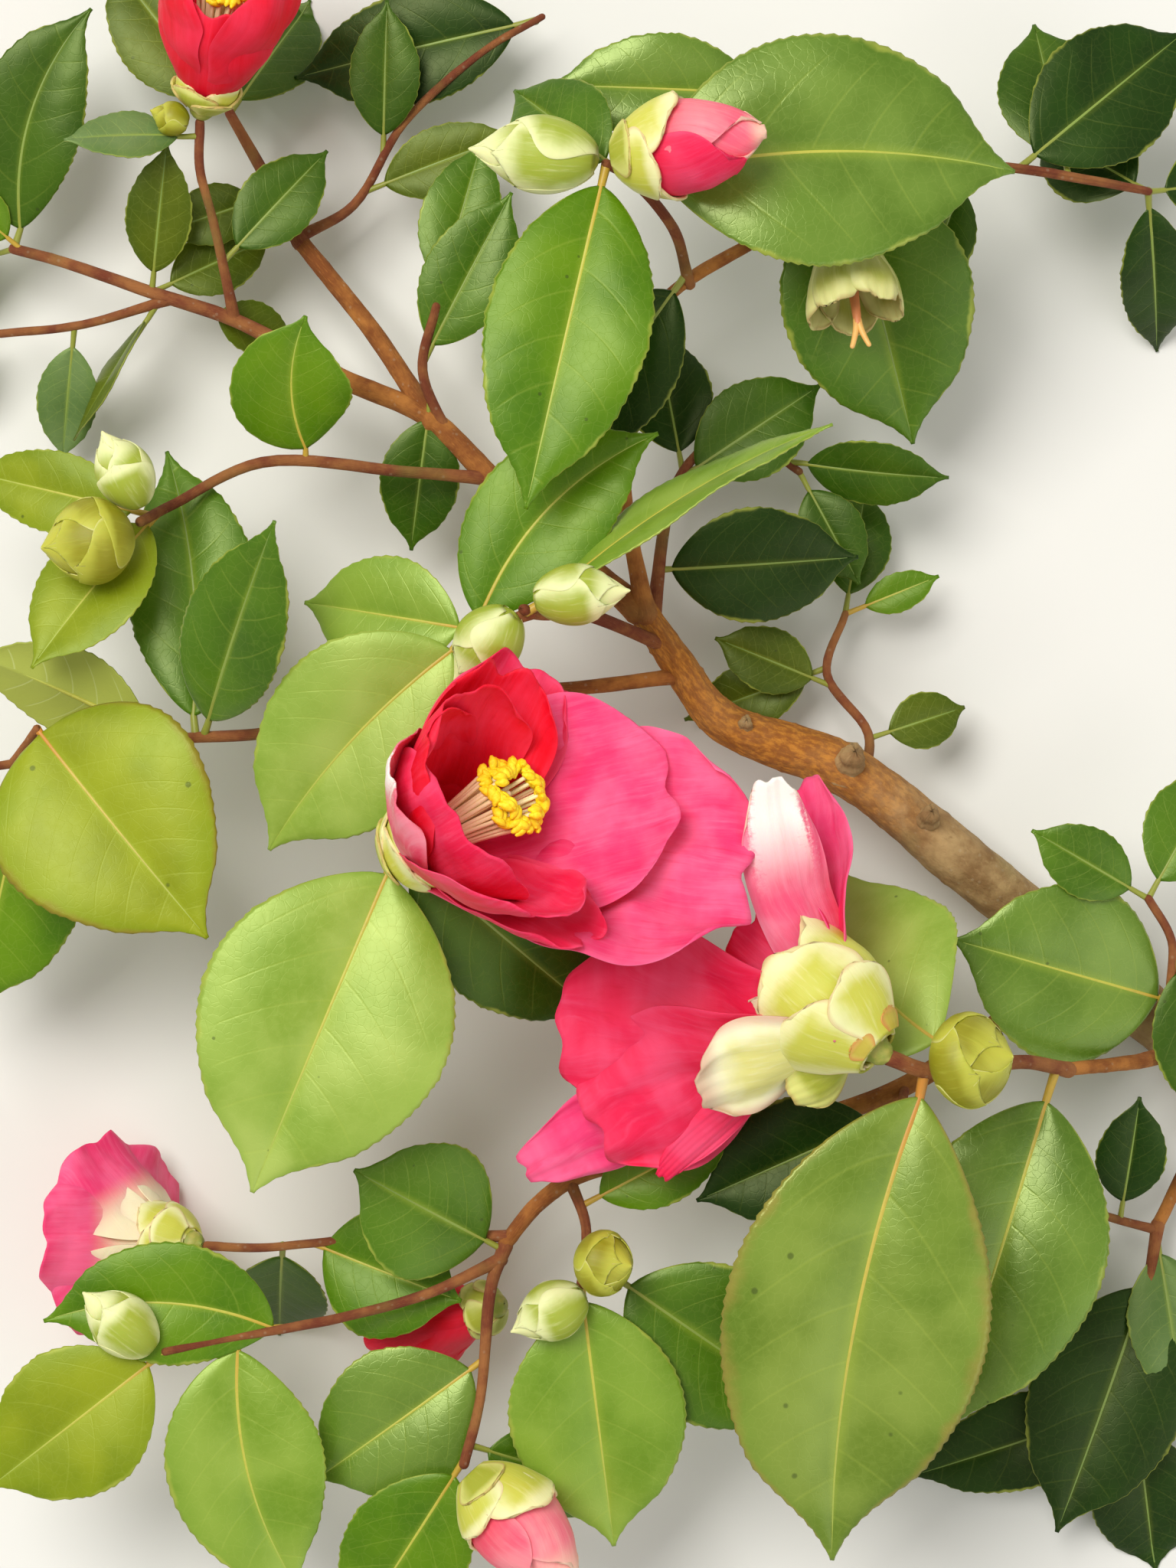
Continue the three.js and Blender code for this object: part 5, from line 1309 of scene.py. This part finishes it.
for turn in (0, 180):
    path = spent_place(0.2 + 1.6 * share**1.5, turn, 22 + 6 * share)
    pistil.append(tube(path, 0.8 - 0.25 * share, 8, along=0.8))
pistil_look = rib_finish("pistil", "#c8703c", "#e08a58", "#efc06a", "#e08a58")
make_piece("spent_bloom_pistil_split", pistil, pistil_look, ["spent_bloom_pistil"], ["along"])


# Stage: a plain pale floor, soft lights, and the camera above
def floor_finish():
    """A pale matte surface with the faintest cloud."""
    n = Nodes("floor")
    cloud = n.noise(n.place(), 3.0, 2.0)
    return n.finish(n.mix(cloud, "#e6e4de", "#ebe9e4"), 0.9)


FLOOR_HALF = 2.0  # metres
floor_mesh = bpy.data.meshes.new("floor")
floor_corners = [(x * FLOOR_HALF, y * FLOOR_HALF, 0) for x, y in ((-1, -1), (1, -1), (1, 1), (-1, 1))]
floor_mesh.from_pydata(floor_corners, [], [(0, 1, 2, 3)])
floor_mesh.materials.append(floor_finish())
floor = bpy.data.objects.new("floor", floor_mesh)
bpy.context.scene.collection.objects.link(floor)


def soft_light(name, place, size, power, colour):
    """A square light at a place in metres, turned to the origin."""
    data = bpy.data.lights.new(name, "AREA")
    data.size = size
    data.energy = power
    data.color = colour
    light = bpy.data.objects.new(name, data)
    light.location = place
    light.rotation_euler = (-Vector(place)).to_track_quat("-Z", "Y").to_euler()
    light.visible_camera = False
    bpy.context.scene.collection.objects.link(light)


soft_light("key", place=(-0.55, 0.6, 1.6), size=0.9, power=26, colour=(1.0, 0.99, 0.96))
soft_light("fill", place=(1.2, -0.9, 1.2), size=1.4, power=7, colour=(0.94, 0.97, 1.0))
world = bpy.data.worlds.new("studio")
world.use_nodes = True
surround = world.node_tree.nodes["Background"]
surround.inputs["Color"].default_value = (1.0, 0.99, 0.95, 1.0)
surround.inputs["Strength"].default_value = 0.5
bpy.context.scene.world = world
bpy.context.scene.view_settings.view_transform = "Standard"

camera_data = bpy.data.cameras.new("camera")
camera_data.sensor_width = 36.0  # millimetres, the long side of the picture
camera_data.sensor_fit = "AUTO"
view_long_side = PHOTO_LONG_SIDE / PHOTO_SCALE
camera_data.lens = camera_data.sensor_width * (EYE_HEIGHT - PLAN_HEIGHT) / view_long_side
camera = bpy.data.objects.new("camera", camera_data)
camera.location = (np.array([0.0, 0.0, EYE_HEIGHT]) + SHIFT) * MM
bpy.context.scene.collection.objects.link(camera)
bpy.context.scene.camera = camera
